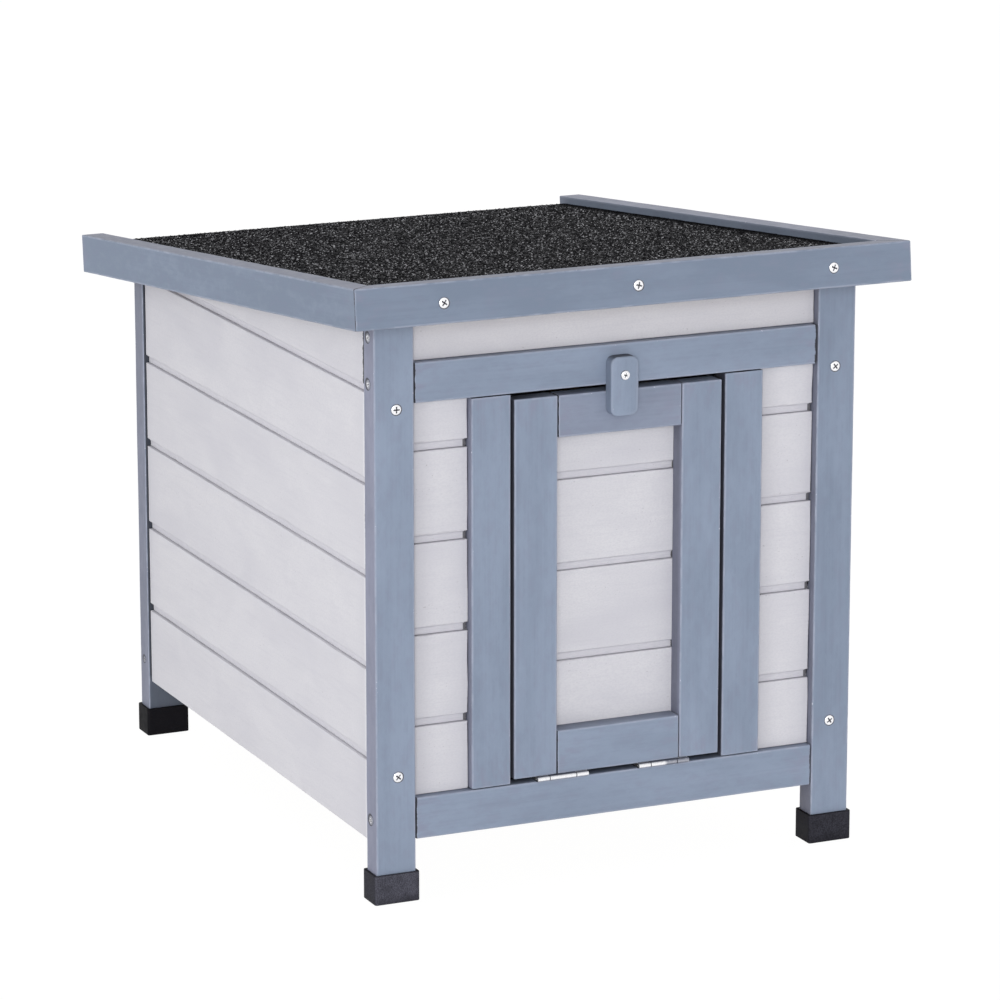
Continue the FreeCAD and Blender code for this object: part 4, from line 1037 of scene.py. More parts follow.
low, high = bounds_of("floor_bearers")
bearer = high[2] - low[2]
bearers = [stick(f"floor_bearer_{i}", rectangle((x, low[2]), (x + bearer, high[2])), (low[1], 0, 0),
                 (high[1], 0, 0), AXES["y"], ease=BATTEN_EASE)
           for i, x in enumerate((low[0], high[0] - bearer))]
piece("bare_floor_bearers", bearers, "floor_bearers")

# %% Floor panel
NOTCH_GAP = 0.4 * MM
PANEL_TIP = 0.5 * MM
low, high = bounds_of("floor_panel")
notch_x = bounds_of("right_side_battens")[0][0] - NOTCH_GAP
notch_y = bounds_of("right_side_battens")[0][1] + BATTEN + NOTCH_GAP
far_y = low[1] + high[1] - notch_y
corners = [(-notch_x, low[1]), (notch_x, low[1]), (notch_x, notch_y), (high[0], notch_y),
           (high[0], far_y), (notch_x, far_y), (notch_x, high[1]), (-notch_x, high[1]),
           (-notch_x, far_y), (low[0], far_y), (low[0], notch_y), (-notch_x, notch_y)]
shell = stick("floor_panel", corners, (low[2], 0, 0), (high[2], 0, 0), AXES["z"], ease=BATTEN_EASE,
              tip=PANEL_TIP, flat=6)
shell["grain"] = shell["grain"][:, [2, 1, 0]]
piece("bare_floor_panel", [shell], "floor_panel")

# %% [markdown]
# ## The roof
#
# The whole roof leans by six degrees, so it is worked out in axes of its own: across the house,
# down the slope, and square to it. Three fascias stand round the deck. The front one is mitred at
# both ends and the side ones at the front, where a dark line shows between them.

# %% Fascias
FASCIA = 21.0 * MM
FASCIA_HEIGHT = 34.0 * MM
MITRE_GAP = 1.0 * MM
MITRE_LINE = 1.0 * MM
FRONT_TIP = 0.7 * MM
SIDE_TIP = 0.3 * MM
# Strength of the painted shade on the inner side of a side fascia.
FELT_SIDE = 0.42
slope = np.arctan(ROOF_SLOPE)
DOWN = np.array([0.0, np.cos(slope), -np.sin(slope)])
UP = np.array([0.0, np.sin(slope), np.cos(slope)])
low, high = bounds_of("front_fascia")
roof_half = high[0]
roof_edge = np.array([0.0, low[1] + FASCIA_HEIGHT * np.sin(slope), high[2]])
rear = bounds_of("right_fascia")[1]
roof_length = (rear[1] - roof_edge[1]) / np.cos(slope)
print("the roof runs", round(roof_length / MM, 1), "mm down its slope")

corners = rectangle((0.0, -FASCIA_HEIGHT), (FASCIA, 0.0))
shell = stick("front_fascia", corners, (-roof_half, 1, 0), (roof_half, -1, 0), (DOWN, UP, X),
              origin=roof_edge, tip=FRONT_TIP, shade=narrow_sides(corners), joints=(BUTT, BUTT))
piece("stained_front_fascia", [shell], "front_fascia")


def shaded_within(section, normals, from_start):
    """Painted shade on the side of a fascia that looks inwards over the felt."""
    return FELT_SIDE * (normals[:, 0] < -FACING)


for side, sign in (("left", -1), ("right", 1)):
    node = f"{side}_fascia"
    corners = rectangle((roof_half - FASCIA, -FASCIA_HEIGHT), (roof_half, 0.0))
    shell = stick(node, corners, (MITRE_GAP + roof_half, -1, 0), (roof_length, 0, 0),
                  (sign * X, UP, DOWN), origin=roof_edge, tip=SIDE_TIP, shade=narrow_sides(corners),
                  dirt=shaded_within, joints=(MITRE_LINE, 0.0))
    piece("stained_" + node, [shell], node)

# %% [markdown]
# ## Deck and felt
#
# Under the felt lies a thin deck. Its thin section, as long as the roof, is carried across the
# house, so that its broad underside is made of four-sided faces and shows no crease when the roof
# is open.

# %% Deck
FELT_LIP = 6.5 * MM
FELT = 3.0 * MM
DECK = 12.0 * MM
DECK_GAP = 0.3 * MM
DECK_SETBACK = 10.0 * MM
DECK_EASE = 0.6 * MM
DECK_TIP = 0.4 * MM
deck_half = bounds_of("roof_deck")[1][0]
deck_start = FASCIA + DECK_GAP
deck_end = roof_length - DECK_SETBACK
under = -FELT_LIP - FELT
corners = rectangle((deck_start, under - DECK), (deck_end, under))
shell = stick("roof_deck", corners, (-deck_half, 0, 0), (deck_half, 0, 0), (DOWN, UP, X),
              origin=roof_edge, ease=DECK_EASE, tip=DECK_TIP, flat=40)
piece("bare_roof_deck", [shell], "roof_deck")

# %% [markdown]
# The felt is seen almost edge-on from the front, so its slate chips have to stand up: a pattern on
# a flat sheet would smear into grey there. Each chip is a little pyramid of three corners on the
# sheet and one above it, with a grey of its own. The sheet between them swells a little, as felt
# does where it isn't glued.

# %% Felt sheet
FELT_STEP = 8.0 * MM
FELT_SWELL = 0.25 * MM
FRAYED = 0.4 * MM
# Width of the painted shadow along the side fascias, and of its fade inwards.
SHADOW_EDGE = 8.0 * MM
SHADOW_FADE = 12.0 * MM


def border(rows, columns):
    """Numbers of a grid's outer points, once round."""
    grid = np.arange(rows * columns).reshape(rows, columns)
    return np.concatenate([grid[0, :-1], grid[:-1, -1], grid[-1, :0:-1], grid[:0:-1, 0]])


def inside(x):
    """None in the painted shadow along the side fascias, and one a fade further in."""
    return np.clip((deck_half - np.abs(x) - SHADOW_EDGE) / SHADOW_FADE, 0, 1)


def felt_sheet():
    """A grid that swells at random, with walls down to one face below it."""
    luck = dice("roof_felt")
    across = np.linspace(-deck_half, deck_half, int(2 * deck_half / FELT_STEP))
    down = np.linspace(deck_start, deck_end, int((deck_end - deck_start) / FELT_STEP))
    y, x = np.meshgrid(down, across, indexing="ij")
    y[-1] += luck.uniform(-1, 1, len(across)) * FRAYED
    rise = FELT_SWELL * luck.uniform(-1, 0.3, x.shape)
    top = np.stack([x, y, rise - FELT_LIP], axis=-1).reshape(-1, 3)
    rows, columns = x.shape
    edge = border(rows, columns)
    bottom = top[edge].copy()
    bottom[:, 2] = under
    points = np.concatenate([top, bottom])
    grid = np.arange(rows * columns).reshape(rows, columns)
    faces = np.stack([grid[:-1, :-1], grid[:-1, 1:], grid[1:, 1:], grid[1:, :-1]], axis=-1)
    lower = rows * columns + np.arange(len(edge))
    wall = np.stack([edge, lower, np.roll(lower, -1), np.roll(edge, -1)], axis=-1)
    finish = np.zeros_like(points)
    # Painted shadow along the side fascias: no flat chips show there.
    finish[:, 1] = 1 - inside(points[:, 0])
    sides = np.concatenate([faces.reshape(-1, 4), wall]).tolist()
    return {"points": points, "faces": sides + [lower.tolist()[::-1]], "grain": points,
            "finish": finish}

# %% Slate chips
CHIPS = 42000
CHIP_RADIUS = (0.45 * MM, 1.25 * MM)
CHIP_STRETCH = 1.6
CHIP_HEIGHT = (0.2 * MM, 0.75 * MM)
CHIP_SUNK = 0.3 * MM
GREY_POWER = 8


def slate_chips():
    """Closed pyramids with three corners r (cos a, sin a) around a random place, and a leaning tip.

    They are stretched across the roof. The grey is a random number to the power of eight, so most
    chips are black and a few are bright. It falls to nothing along the side fascias, as a painted
    shadow at the fascias' feet.
    """
    luck = dice("slate_chips")
    reach = deck_half - CHIP_STRETCH * CHIP_RADIUS[1]
    x = luck.uniform(-reach, reach, CHIPS)
    y = luck.uniform(deck_start + CHIP_RADIUS[1], deck_end - CHIP_RADIUS[0], CHIPS)
    radius = luck.uniform(*CHIP_RADIUS, (CHIPS, 3))
    angle = luck.uniform(0, 2 * np.pi, (CHIPS, 1)) + np.array([0, 2, 4]) * np.pi / 3
    base = np.stack([x[:, None] + CHIP_STRETCH * radius * np.cos(angle),
                     y[:, None] + radius * np.sin(angle),
                     np.full((CHIPS, 3), -FELT_LIP - CHIP_SUNK)], axis=-1)
    lean = luck.uniform(-0.5, 0.5, (CHIPS, 2)) * CHIP_RADIUS[1]
    rise = luck.uniform(*CHIP_HEIGHT, CHIPS) - FELT_LIP
    tip = np.stack([x + lean[:, 0], y + lean[:, 1], rise], axis=-1)
    points = np.concatenate([base, tip[:, None]], axis=1).reshape(-1, 3)
    corners = np.array([(0, 1, 3), (1, 2, 3), (2, 0, 3), (2, 1, 0)])
    faces = (4 * np.arange(CHIPS)[:, None, None] + corners).reshape(-1, 3)
    finish = np.zeros_like(points)
    # Chips are black in the painted shadow along the side fascias.
    finish[:, 0] = np.repeat(inside(x) * luck.random(CHIPS) ** GREY_POWER, 4)
    finish[:, 1] = 1.0
    return {"points": points, "faces": faces.tolist(), "grain": points, "finish": finish}


sheets = [felt_sheet(), slate_chips()]
for sheet in sheets:
    sheet["points"] = roof_edge + sheet["points"] @ np.array([X, DOWN, UP])
felt = piece("granulated_roof_felt", sheets, "roof_felt")
print("felt:", len(felt.data.polygons), "faces")

# %% [markdown]
# ## Foot caps
#
# Each foot stands in a push-on cap, an open box with soft corners. Its shell is worked out like a
# vase: one outline, carried up the outside, over a thin rim and down the inside to the floor.

# %% Foot caps
CAP_WALL = 2.5 * MM
CAP_FLOOR = 3.0 * MM
CAP_ROUNDING = 1.6 * MM
CAP_LIP = 0.5 * MM
CAP_FOOT = 0.8 * MM
CAP_MIDDLE = 3.0 * MM


def cap_shell(node):
    """Rings of (inset, height) from the middle of the underside to the floor inside."""
    low, high = bounds_of(node)
    tall = high[2] - low[2]
    section, _ = eased(rectangle(low, high), 1.6 * CAP_ROUNDING, arc=6, flat=5)
    inset, rise = quarter(CAP_FOOT, 5)
    inset = [CAP_MIDDLE, *inset, 0, 0, 0, 0.3 * CAP_LIP, CAP_LIP, CAP_WALL - CAP_LIP, CAP_WALL,
             CAP_WALL, CAP_WALL + CAP_MIDDLE]
    level = [0, *rise, tall / 3, tall * 2 / 3, tall - 2 * CAP_LIP, tall - 0.3 * CAP_LIP, tall, tall,
             tall - CAP_LIP, CAP_FLOOR, CAP_FLOOR]
    # Darkening of the cap: most at the lip round the top, which is painted shade, less on the rounded
    # foot.
    rim = [0, *np.full(5, 0.6), 0, 0, 0, 1, 1, 0.3, 0, 0, 0]
    inset, level = on_rings(inset, section), on_rings(level, section)
    points, faces = carried(section, inset, level, AXES["z"])
    finish = np.zeros_like(points)
    finish[:, 0] = np.repeat(rim, len(section))
    # How much a point looks to the front, where the cap gets painted light as well as dust.
    finish[:, 2] = np.tile(np.clip(-outward(section)[:, 1], 0, 1), len(rim))
    shift = dice(node).uniform(0, GRAIN_SHIFT, 3)
    return {"points": points, "faces": faces, "grain": points + shift, "finish": finish}


for end in ("front", "rear"):
    for side in ("left", "right"):
        node = f"{end}_{side}_foot_cap"
        piece("moulded_" + node, [cap_shell(node)], node)
print("caps reach", round(bounds_of("front_left_foot_cap")[1][2] / MM, 1), "mm up the posts")

# %% [markdown]
# ## Turn button
#
# A little block of wood turns on one screw and keeps the door shut. Its outline is a rectangle
# with round corners, carried through its thickness, with the front edge sanded soft. Its sides
# get painted shade, most of all the upper one, so that it stands out from the rail behind it.

# %% Turn button
BUTTON_ROUNDING = 6.0 * MM
BUTTON_EASE = 1.3 * MM
BUTTON_BACK = 0.3 * MM
BUTTON_SIDES = 0.22
BUTTON_TOP = 0.6


def button_shell():
    """Rings from the middle of the front face over the soft edge to the back."""
    low, high = bounds_of("turn_button")
    outline = rectangle(low[[0, 2]], high[[0, 2]])
    section, _ = eased(outline, 1.25 * BUTTON_ROUNDING, arc=10, flat=6)
    soft, shift = quarter(BUTTON_EASE, 6)
    thick = high[1] - low[1]
    inset = [soft[0] + 2 * FLANK, *soft, 0, 0, BUTTON_BACK, BUTTON_BACK + FLANK]
    along = [0, *shift, 2 * BUTTON_EASE, thick - BUTTON_BACK, thick, thick]
    near = np.array([0, *np.ones(6), 0, 0, 1, 0])
    inset, along = on_rings(inset, section), low[1] + on_rings(along, section)
    inset = inset - waves(dice("turn_button"), along, section)
    points, faces = carried(section, inset, along, (X, Z, Y))
    finish = np.zeros_like(points)
    finish[:, 0] = 0.4 * np.repeat(near, len(section))
    finish[:, 1] = SMUDGE_REACH
    normals = outward(section)
    # Painted shade on the sides, most on the upper one, from just behind the soft front edge.
    sides = BUTTON_SIDES + BUTTON_TOP * np.clip(normals[:, 1], 0, 1) ** 3
    behind = np.clip((along - low[1]) / BUTTON_EASE - 0.6, 0, 1)
    return {"points": points, "faces": faces, "grain": points[:, [2, 0, 1]] + 0.7, "finish": finish,
            "dirt": (sides * behind).ravel()}


piece("stained_turn_button", [button_shell()], "turn_button")

# %% [markdown]
# ## Screws
#
# The heads are what shows of the screws: low domes with a cross pressed into them. Each is a
# profile turned about the screw's axis. Where a point of the dome lies on one of the cross's two
# arms it is pushed down, so the recess has real depth and real shadow. No two crosses point the
# same way, because nobody stops a screw at a chosen angle.

# %% A screw
ROUND = 48
screw_kinds = {
    "face": {"head": 4.3, "height": 2.2, "rim": 1.0, "bevel": 1.7, "cross": 0.9, "deep": 1.6,
             "hole": 4.9, "shank": 1.9, "length": 38.0, "dull": 0.0},
    "side": {"head": 4.0, "height": 0.8, "rim": 0.3, "bevel": 2.2, "cross": 1.1, "deep": 0.5,
             "hole": 5.3, "shank": 1.9, "length": 55.0, "dull": 0.9},
    "sunk": {"head": 2.8, "height": 0.4, "rim": 0.3, "bevel": 1.2, "cross": 1.3, "deep": 0.3,
             "hole": 4.2, "shank": 1.9, "length": 55.0, "dull": 1.0},
    "button": {"head": 3.9, "height": 1.8, "rim": 0.8, "bevel": 2.1, "cross": 0.7, "deep": 1.2,
               "hole": 4.1, "shank": 1.9, "length": 28.0, "dull": 0.1},
    "hinge": {"head": 2.5, "height": 0.9, "rim": 0.4, "bevel": 1.0, "cross": 0.7, "deep": 0.5,
              "hole": 2.6, "shank": 1.3, "length": 12.0, "dull": 0.2},
}
HOLE_RISE = 0.12
CROSS_STEP = 0.2 * MM


def screw_profile(kind):
    """Radius and height of the rings: up the dome as a quarter of an ellipse, rim, shank, point.

    Between the rim and the shank lies the splintered edge of the hole, a hair above the wood.
    """
    turn = np.linspace(0.04, 1.0, 14)
    radius = kind["head"] * np.sin(turn * np.pi / 2) ** 0.8
    dome = np.sqrt(1 - (radius / kind["head"]) ** 2)
    height = kind["rim"] + (kind["height"] - kind["rim"]) * dome
    below = kind["length"]
    radius = np.concatenate([radius, [kind["head"], kind["hole"], kind["hole"], kind["shank"],
                                      kind["shank"], 0.15]])
    height = np.concatenate([height, [HOLE_RISE, HOLE_RISE / 2, -HOLE_RISE, -1.0,
                                      -(below - 2 * kind["shank"]), -below]])
    return radius * MM, height * MM


def screw_shell(name, kind, place, out, slip=(0.0, 0.0, 0.0)):
    """P(r, angle) = (r cos, r sin, height(r) - cross), turned so that the head looks outwards.

    The cross is deep where |x| or |y| is under half an arm's width and the other is under its
    length, with a soft step between in and out, and it is shallower at the arms' ends. The
    finish gets painted shade in the cross and in the hole round the head, and how dull the outer
    head is. The hole isn't quite centred on the head, and slips to one side, so its painted shade
    shows as a crescent on that side.
    """
    sizes = screw_kinds[kind]
    luck = dice(name)
    radius, height = screw_profile(sizes)
    angle = np.linspace(0, 2 * np.pi, ROUND, endpoint=False)
    x, y = radius[:, None] * np.cos(angle), radius[:, None] * np.sin(angle)
    arm, half = (sizes["head"] - sizes["bevel"]) * MM, sizes["cross"] / 2 * MM

    def within(value, limit):
        return np.clip((limit - np.abs(value)) / CROSS_STEP + 0.5, 0, 1)
    cross = np.maximum(within(x, half) * within(y, arm), within(y, half) * within(x, arm))
    fade = 1 - 0.5 * np.clip(radius / arm, 0, 1)[:, None]
    on_top = (height > HOLE_RISE * MM)[:, None]
    level = height[:, None] - on_top * cross * fade * sizes["deep"] * MM
    spin = luck.uniform(0, np.pi / 2)
    x, y = x * np.cos(spin) - y * np.sin(spin), x * np.sin(spin) + y * np.cos(spin)
    out = np.asarray(out, float)
    side = np.cross(out, X if abs(out[0]) < 0.5 else Y)
    side = side / np.linalg.norm(side)
    axes = np.array([side, np.cross(out, side), out])
    hole = (height < 1.5 * HOLE_RISE * MM)[:, None]
    slips = hole & (radius > sizes["head"] * 1.001 * MM)[:, None]
    slipped = slips[..., None] * np.asarray(slip) * MM
    points = np.asarray(place) + (np.stack([x, y, level], axis=-1) @ axes + slipped).reshape(-1, 3)
    # Painted shade in the hole round the head and in the cross.
    under = 0.9 * hole
    outer = np.clip(5.0 * radius / (sizes["head"] * MM) - 2.0, 0, 1)[:, None]
    finish = np.stack(np.broadcast_arrays(np.maximum(on_top * cross * 0.95, under),
                                          sizes["dull"] * outer, 0.0 * x), axis=-1)
    rings = len(radius)
    faces = [face[::-1] for face in ring_faces(rings, ROUND).tolist()]
    faces += [list(range(ROUND)), list(range((rings - 1) * ROUND, rings * ROUND))[::-1]]
    return {"points": points, "faces": faces, "grain": points + luck.uniform(0, GRAIN_SHIFT, 3),
            "finish": finish.reshape(-1, 3)}

# %% [markdown]
# The screws stand where the joiner needs them: through the posts into the battens behind them,
# through the posts' sides into the ends of the rails, and through the front fascia into the deck.

# %% Screws of the frame
FACE_INSET = 19.0 * MM
LOWER_FACE = 108.5 * MM
UPPER_DROP = 3.5 * MM
REAR_DROP = 26.0 * MM
SIDE_LINE = 11.0 * MM
TOP_BOARD_RISE = 22.0 * MM
REAR_RISE = 25.0 * MM
LINTEL_TOP_GAP = 0.3 * MM
# How far the hole round a head slips aside, so that its painted shade shows as a crescent.
FACE_SLIP = (0.7, 0.0, -0.35)
SIDE_SLIP = 2.0


def middle_of(node):
    """The height of the middle of a node's box."""
    low, high = bounds_of(node)
    return (low[2] + high[2]) / 2


front = bounds_of("front_left_post")[0][1]
back = bounds_of("rear_left_post")[1][1]
half_width = bounds_of("front_right_post")[1][0]
top_screw = bounds_of("front_top_board")[0][2] - LINTEL_TOP_GAP + TOP_BOARD_RISE
rear_rail = bounds_of("rear_upper_rail")
face_levels = {"front": [LOWER_FACE, bounds_of("front_upper_rail")[0][2] - UPPER_DROP],
               "rear": [LOWER_FACE, rear_rail[0][2] - REAR_DROP]}
side_levels = {"front": [middle_of("front_lower_rail"), middle_of("front_upper_rail"), top_screw],
               "rear": [middle_of("rear_lower_rail"), rear_rail[0][2] + REAR_RISE]}
shells = []
for sign in (-1, 1):
    for end, y, out, inner, kind in (("front", front, -Y, SIDE_LINE, "side"),
                                     ("rear", back, Y, -SIDE_LINE, "sunk")):
        for level in face_levels[end]:
            place = (sign * (half_width - FACE_INSET), y, level)
            shells.append(screw_shell(f"face_{end}_{sign}_{level:.3f}", "face", place, out, FACE_SLIP))
        for level in side_levels[end]:
            place = (sign * half_width, y + inner, level)
            shells.append(screw_shell(f"side_{end}_{sign}_{level:.3f}", kind, place, sign * X,
                                      SIDE_SLIP * Y))
piece("frame_screw_set", shells, "frame_screws")
print(len(shells), "screws in the frame")

# %% Screws of the fascia and the button
FASCIA_SCREWS = (-175.0 * MM, -2.0 * MM, 178.0 * MM)
FASCIA_SCREW_DROP = 17.0 * MM
shells = [screw_shell(f"fascia_{x:.3f}", "face", roof_edge + x * X - FASCIA_SCREW_DROP * UP, -DOWN,
                      FACE_SLIP) for x in FASCIA_SCREWS]
piece("fascia_screw_set", shells, "fascia_screws")

low, high = bounds_of("turn_button_screw")
head_height = screw_kinds["button"]["height"] * MM
place = ((low[0] + high[0]) / 2, low[1] + head_height, (low[2] + high[2]) / 2)
piece("button_screw", [screw_shell("button_screw", "button", place, -Y)], "turn_button_screw")

# %% [markdown]
# ## Hinges
#
# A butt hinge is two leaves of sheet steel whose edges are rolled round one pin. From the front
# only the rolled knuckles show, as a bright rod with two fine splits. Each knuckle's section is
# the sheet's own: flat along the leaf, then round the pin until it almost meets the leaf again.

# %% Hinges
KNUCKLE = 2.2 * MM
SHEET = 1.0 * MM
HINGE_LENGTH = 47.0 * MM
HINGE_MIDDLE = 24.0 * MM
KNUCKLE_GAP = 0.3 * MM
SPLIT = 0.5 * MM
HINGE_REACH = 17.0 * MM
HINGE_SCREW_PLACE = 12.0 * MM
HINGE_SCREW_REACH = 9.5 * MM
PIN = 1.1 * MM
ROLL = np.radians(288)
ROD_STATIONS = 9
ROD_SOFT = 0.15 * MM
STAINED = (45.0 * MM, 70.0 * MM)


def leaf_section(lift, back):
    """The rolled sheet: round the pin from below the leaf, and back inside by one thickness.

    Seen along the pin, back points along the leaf. The outer curve has the knuckle's radius, the
    inner one is a sheet's thickness smaller, and both start under the pin.
    """
    turn = np.linspace(0, ROLL, 22)
    outer = KNUCKLE * np.stack([-back * np.sin(turn), -np.cos(turn)], axis=1)
    inner = (KNUCKLE - SHEET) * np.stack([-back * np.sin(turn), -np.cos(turn)], axis=1)
    tab = back * (KNUCKLE + KNUCKLE_GAP)
    return np.concatenate([[(tab, -lift)], outer, inner[::-1], [(tab, -lift + SHEET)]])


def rod(section, start, end, axes, origin, shade_and_smear=0.0):
    """A section carried from start to end with both ends softened.

    On knuckles, painted shade makes it darker and duller above and below, and in one place stain was
    smeared over it. Its ends always get painted shade.
    """
    soft, edge = ROD_SOFT, 2 * ROD_SOFT
    stations = np.linspace(start + edge, end - edge, ROD_STATIONS)
    level = on_rings([edge, soft, 0, *np.zeros(ROD_STATIONS), 0, soft, edge], section)
    along = on_rings([start, start, start + soft, *stations, end - soft, end, end], section)
    near = on_rings([1, 1, 0.6, *np.zeros(ROD_STATIONS), 0.6, 1, 1], section)
    points, faces = carried(section, level, along, axes, origin)
    steep = np.abs(outward(section)[:, 1])
    # Painted shade, darker and duller, on the top and the underside of a knuckle.
    dull = 0.75 * shade_and_smear * np.clip(3 * steep - 1.9, 0, 1)
    smeared = 0.8 * ((along > STAINED[0]) & (along < STAINED[1]))
    finish = np.zeros_like(points)
    finish[:, 0] = np.maximum(0.7 * near, dull).ravel()
    finish[:, 1] = (shade_and_smear * np.clip(steep**2 + smeared, 0, 1)).ravel()
    return {"points": points, "faces": faces, "grain": points, "finish": finish}


def leaf_shells(middle, axis, lift, back, outer, axes):
    """One leaf: its knuckles on the pin, and the plate behind them."""
    half, gap = HINGE_LENGTH / 2, HINGE_MIDDLE / 2 + SPLIT
    spans = [(-half, -gap), (gap, half)] if outer else [(-HINGE_MIDDLE / 2, HINGE_MIDDLE / 2)]
    rolled = leaf_section(abs(lift), back)
    rolled[:, 1] *= np.sign(lift)
    shells = [rod(rolled, middle + a, middle + b, axes, axis, shade_and_smear=1.0) for a, b in spans]
    step, reach = back * (KNUCKLE + KNUCKLE_GAP), back * HINGE_REACH
    face = -lift + np.sign(lift) * SHEET
    plate = np.array([(step, -lift), (reach, -lift), (reach, face), (step, face)])
    section, _ = eased(plate, 0.2 * MM, arc=3, flat=3)
    return shells + [rod(section, middle - half, middle + half, axes, axis)]


def pin_shell(middle, axis, axes):
    """The pin of a hinge, a round rod as long as its knuckles."""
    angle = np.linspace(0, 2 * np.pi, 24, endpoint=False)
    section = PIN * np.stack([np.cos(angle), np.sin(angle)], axis=1)
    half = HINGE_LENGTH / 2
    return rod(section, middle - half, middle + half, axes, axis)

# %% [markdown]
# The door hangs on two such hinges below it, and the roof on two behind it. The outer knuckles
# belong to the leaf on the frame, and the middle one to the leaf that moves.

# %% Seat the hinges
JOINT_OF = {joint["name"]: np.array(joint["pos_m"]) for joint in frame["joints"]}
DOOR_HINGES = (-51.0 * MM, 43.0 * MM)
LID_HINGES = (-120.0 * MM, 120.0 * MM)
DOOR_AXES = (Y, Z, X)
LID_AXES = (DOWN, UP, X)
LID_LIFT = 2.6 * MM
door_axis = JOINT_OF["door_hinge"] * [0, 1, 1]
lid_axis = JOINT_OF["roof_hinge"]
door_lift = (bounds_of("door_bottom_rail")[0][2] - bounds_of("front_lower_rail")[1][2]) / 2


def leaves(places, axis, lift, back, outer, axes):
    """The same leaf of every hinge of a row."""
    return [shell for x in places for shell in leaf_shells(x, axis, lift, back, outer, axes)]


def leaf_screws(stem, places, axis, lift, back, axes):
    """Two screws through each leaf, with their heads towards the other leaf."""
    level = -lift + np.sign(lift) * SHEET
    seat = axis + back * HINGE_SCREW_REACH * np.asarray(axes[0]) + level * np.asarray(axes[1])
    return [screw_shell(f"{stem}_{x + side:.3f}", "hinge", seat + (x + side) * X,
                        np.sign(lift) * np.asarray(axes[1]))
            for x in places for side in (-HINGE_SCREW_PLACE, HINGE_SCREW_PLACE)]


door_set = (DOOR_HINGES, door_axis)
lid_set = (LID_HINGES, lid_axis)
piece("rolled_door_hinge_frame_leaves", leaves(*door_set, door_lift, 1, True, DOOR_AXES),
      "door_hinge_frame_leaves")
piece("rolled_door_hinge_door_leaves", leaves(*door_set, -door_lift, 1, False, DOOR_AXES),
      "door_hinge_door_leaves")
piece("rolled_roof_hinge_frame_leaves", leaves(*lid_set, LID_LIFT, -1, True, LID_AXES),
      "roof_hinge_frame_leaves")
piece("rolled_roof_hinge_roof_leaves", leaves(*lid_set, -LID_LIFT, -1, False, LID_AXES),
      "roof_hinge_roof_leaves")
pins = [pin_shell(x, door_axis, DOOR_AXES) for x in DOOR_HINGES]
pins += [pin_shell(x, lid_axis, LID_AXES) for x in LID_HINGES]
piece("drawn_hinge_pins", pins, "hinge_pins")
frame_screws = leaf_screws("door_frame", *door_set, door_lift, 1, DOOR_AXES)
frame_screws += leaf_screws("roof_frame", *lid_set, LID_LIFT, -1, LID_AXES)
piece("frame_hinge_screw_set", frame_screws, "frame_hinge_screws")
piece("door_hinge_screw_set", leaf_screws("door", *door_set, -door_lift, 1, DOOR_AXES),
      "door_hinge_screws")
piece("roof_hinge_screw_set", leaf_screws("roof", *lid_set, -LID_LIFT, -1, LID_AXES),
      "roof_hinge_screws")
print(len(DOOR_HINGES) + len(LID_HINGES), "hinges seated")

# %% [markdown]
# ## Floor, backdrop and light
#
# The house stands on a plain pale floor in a white studio. The light is a large soft sky of one
# tone, a broad low lamp beside the camera, a weaker one for the left wall and one from behind. As
# the key lamp stands where the camera does, its shadows hide behind what throws them. What the
# camera sees of sky and floor is white by the Light Path node, so the background is clean without
# more light on the house.

# %% Floor and backdrop
GROUND_SPAN = 30.0
SKY_LIGHT = 0.55
FLOOR_COLOUR = (0.86, 0.86, 0.87, 1.0)
FLOOR_GLOW = 1.04
GLOW_SHARE = 0.94


def seen_directly(nodes, links):
    """One where a ray comes from the camera, a mirror or glass, and zero elsewhere."""
    path = nodes.new("ShaderNodeLightPath")
    total = path.outputs["Is Camera Ray"]
    for name in ("Is Glossy Ray", "Is Transmission Ray"):
        larger = nodes.new("ShaderNodeMath")
        larger.operation = "MAXIMUM"
        links.new(total, larger.inputs[0])
        links.new(path.outputs[name], larger.inputs[1])
        total = larger.outputs[0]
    return total


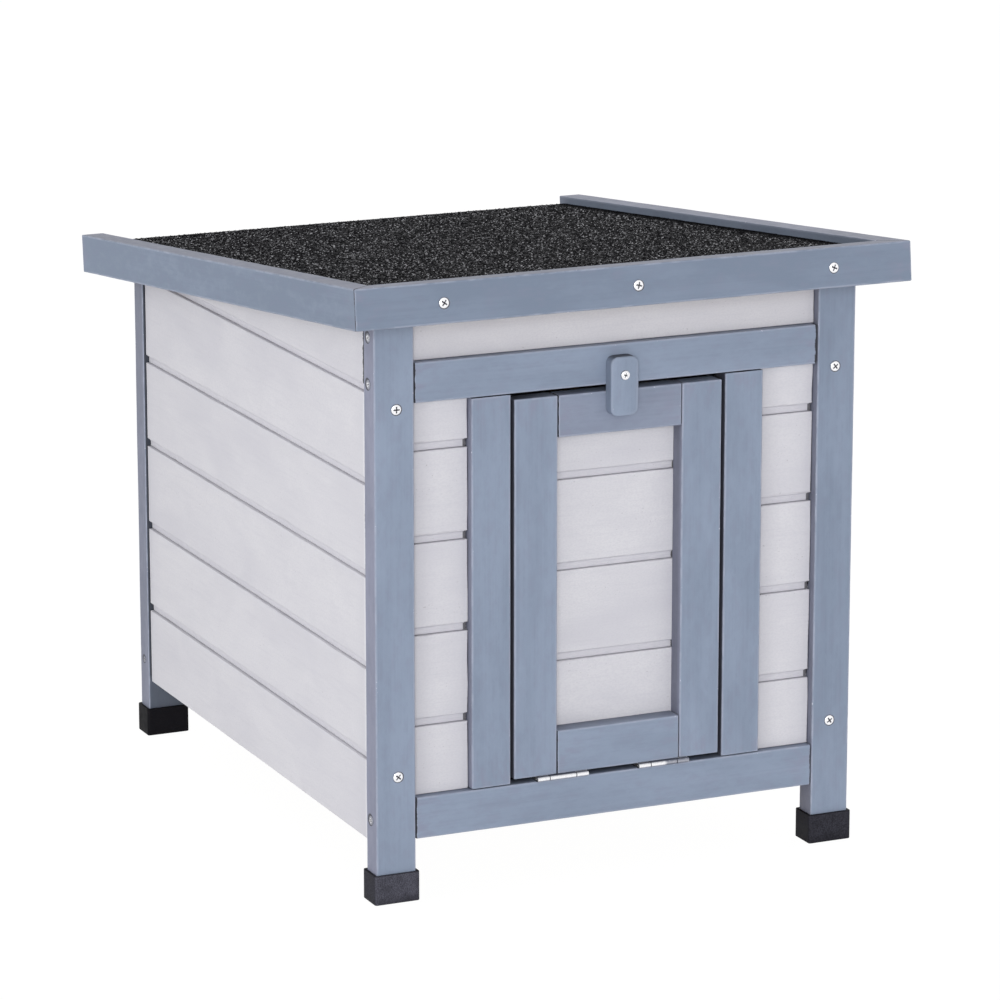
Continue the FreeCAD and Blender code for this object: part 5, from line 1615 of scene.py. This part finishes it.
world = bpy.data.worlds.new("studio")
bpy.context.scene.world = world
world.use_nodes = True
nodes, links = world.node_tree.nodes, world.node_tree.links
sky = nodes["Background"]
sky.inputs["Color"].default_value = (1.0, 1.0, 1.0, 1.0)
strength = nodes.new("ShaderNodeMapRange")
strength.inputs["To Min"].default_value = SKY_LIGHT
strength.inputs["To Max"].default_value = 1.0
links.new(seen_directly(nodes, links), strength.inputs["Value"])
links.new(strength.outputs[0], sky.inputs["Strength"])

floor_finish = bpy.data.materials.new("pale_floor")
floor_finish.use_nodes = True
nodes, links = floor_finish.node_tree.nodes, floor_finish.node_tree.links
matt = nodes["Principled BSDF"]
matt.inputs["Base Color"].default_value = FLOOR_COLOUR
matt.inputs["Roughness"].default_value = 0.9
glow = nodes.new("ShaderNodeEmission")
glow.inputs["Strength"].default_value = FLOOR_GLOW
share = nodes.new("ShaderNodeMath")
share.operation = "MULTIPLY"
share.inputs[1].default_value = GLOW_SHARE
both = nodes.new("ShaderNodeMixShader")
links.new(seen_directly(nodes, links), share.inputs[0])
links.new(share.outputs[0], both.inputs[0])
links.new(matt.outputs[0], both.inputs[1])
links.new(glow.outputs[0], both.inputs[2])
links.new(both.outputs[0], nodes["Material Output"].inputs["Surface"])

corners = GROUND_SPAN * np.array([(-1, -1, 0), (1, -1, 0), (1, 1, 0), (-1, 1, 0)])
ground = bpy.data.meshes.new("pale_floor")
ground.from_pydata(corners, [], [(0, 1, 2, 3)])
ground.materials.append(floor_finish)
floor = bpy.data.objects.new("pale_floor", ground)
bpy.context.scene.collection.objects.link(floor)
floor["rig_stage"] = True

# %% Lamps
LAMP_SPREAD = np.radians(25)
LAMPS = {"key": (1.41, (79.0, 0.0, -24.0)), "side": (0.66, (79.0, 0.0, -92.0)),
         "fill_behind": (0.9, (68.0, 0.0, 130.0))}

for name, (strength, turn) in LAMPS.items():
    light = bpy.data.lights.new(name, "SUN")
    light.energy = strength
    light.angle = LAMP_SPREAD
    lamp = bpy.data.objects.new(name, light)
    lamp.rotation_euler = np.radians(turn)
    bpy.context.scene.collection.objects.link(lamp)
print("lamps:", ", ".join(LAMPS))
bpy.context.scene.view_settings.view_transform = "Standard"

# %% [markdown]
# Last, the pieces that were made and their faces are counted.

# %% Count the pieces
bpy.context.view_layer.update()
shown = [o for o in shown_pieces() if "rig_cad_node" not in o]
print(len(shown), "pieces made,", sum(len(o.data.polygons) for o in shown), "faces")
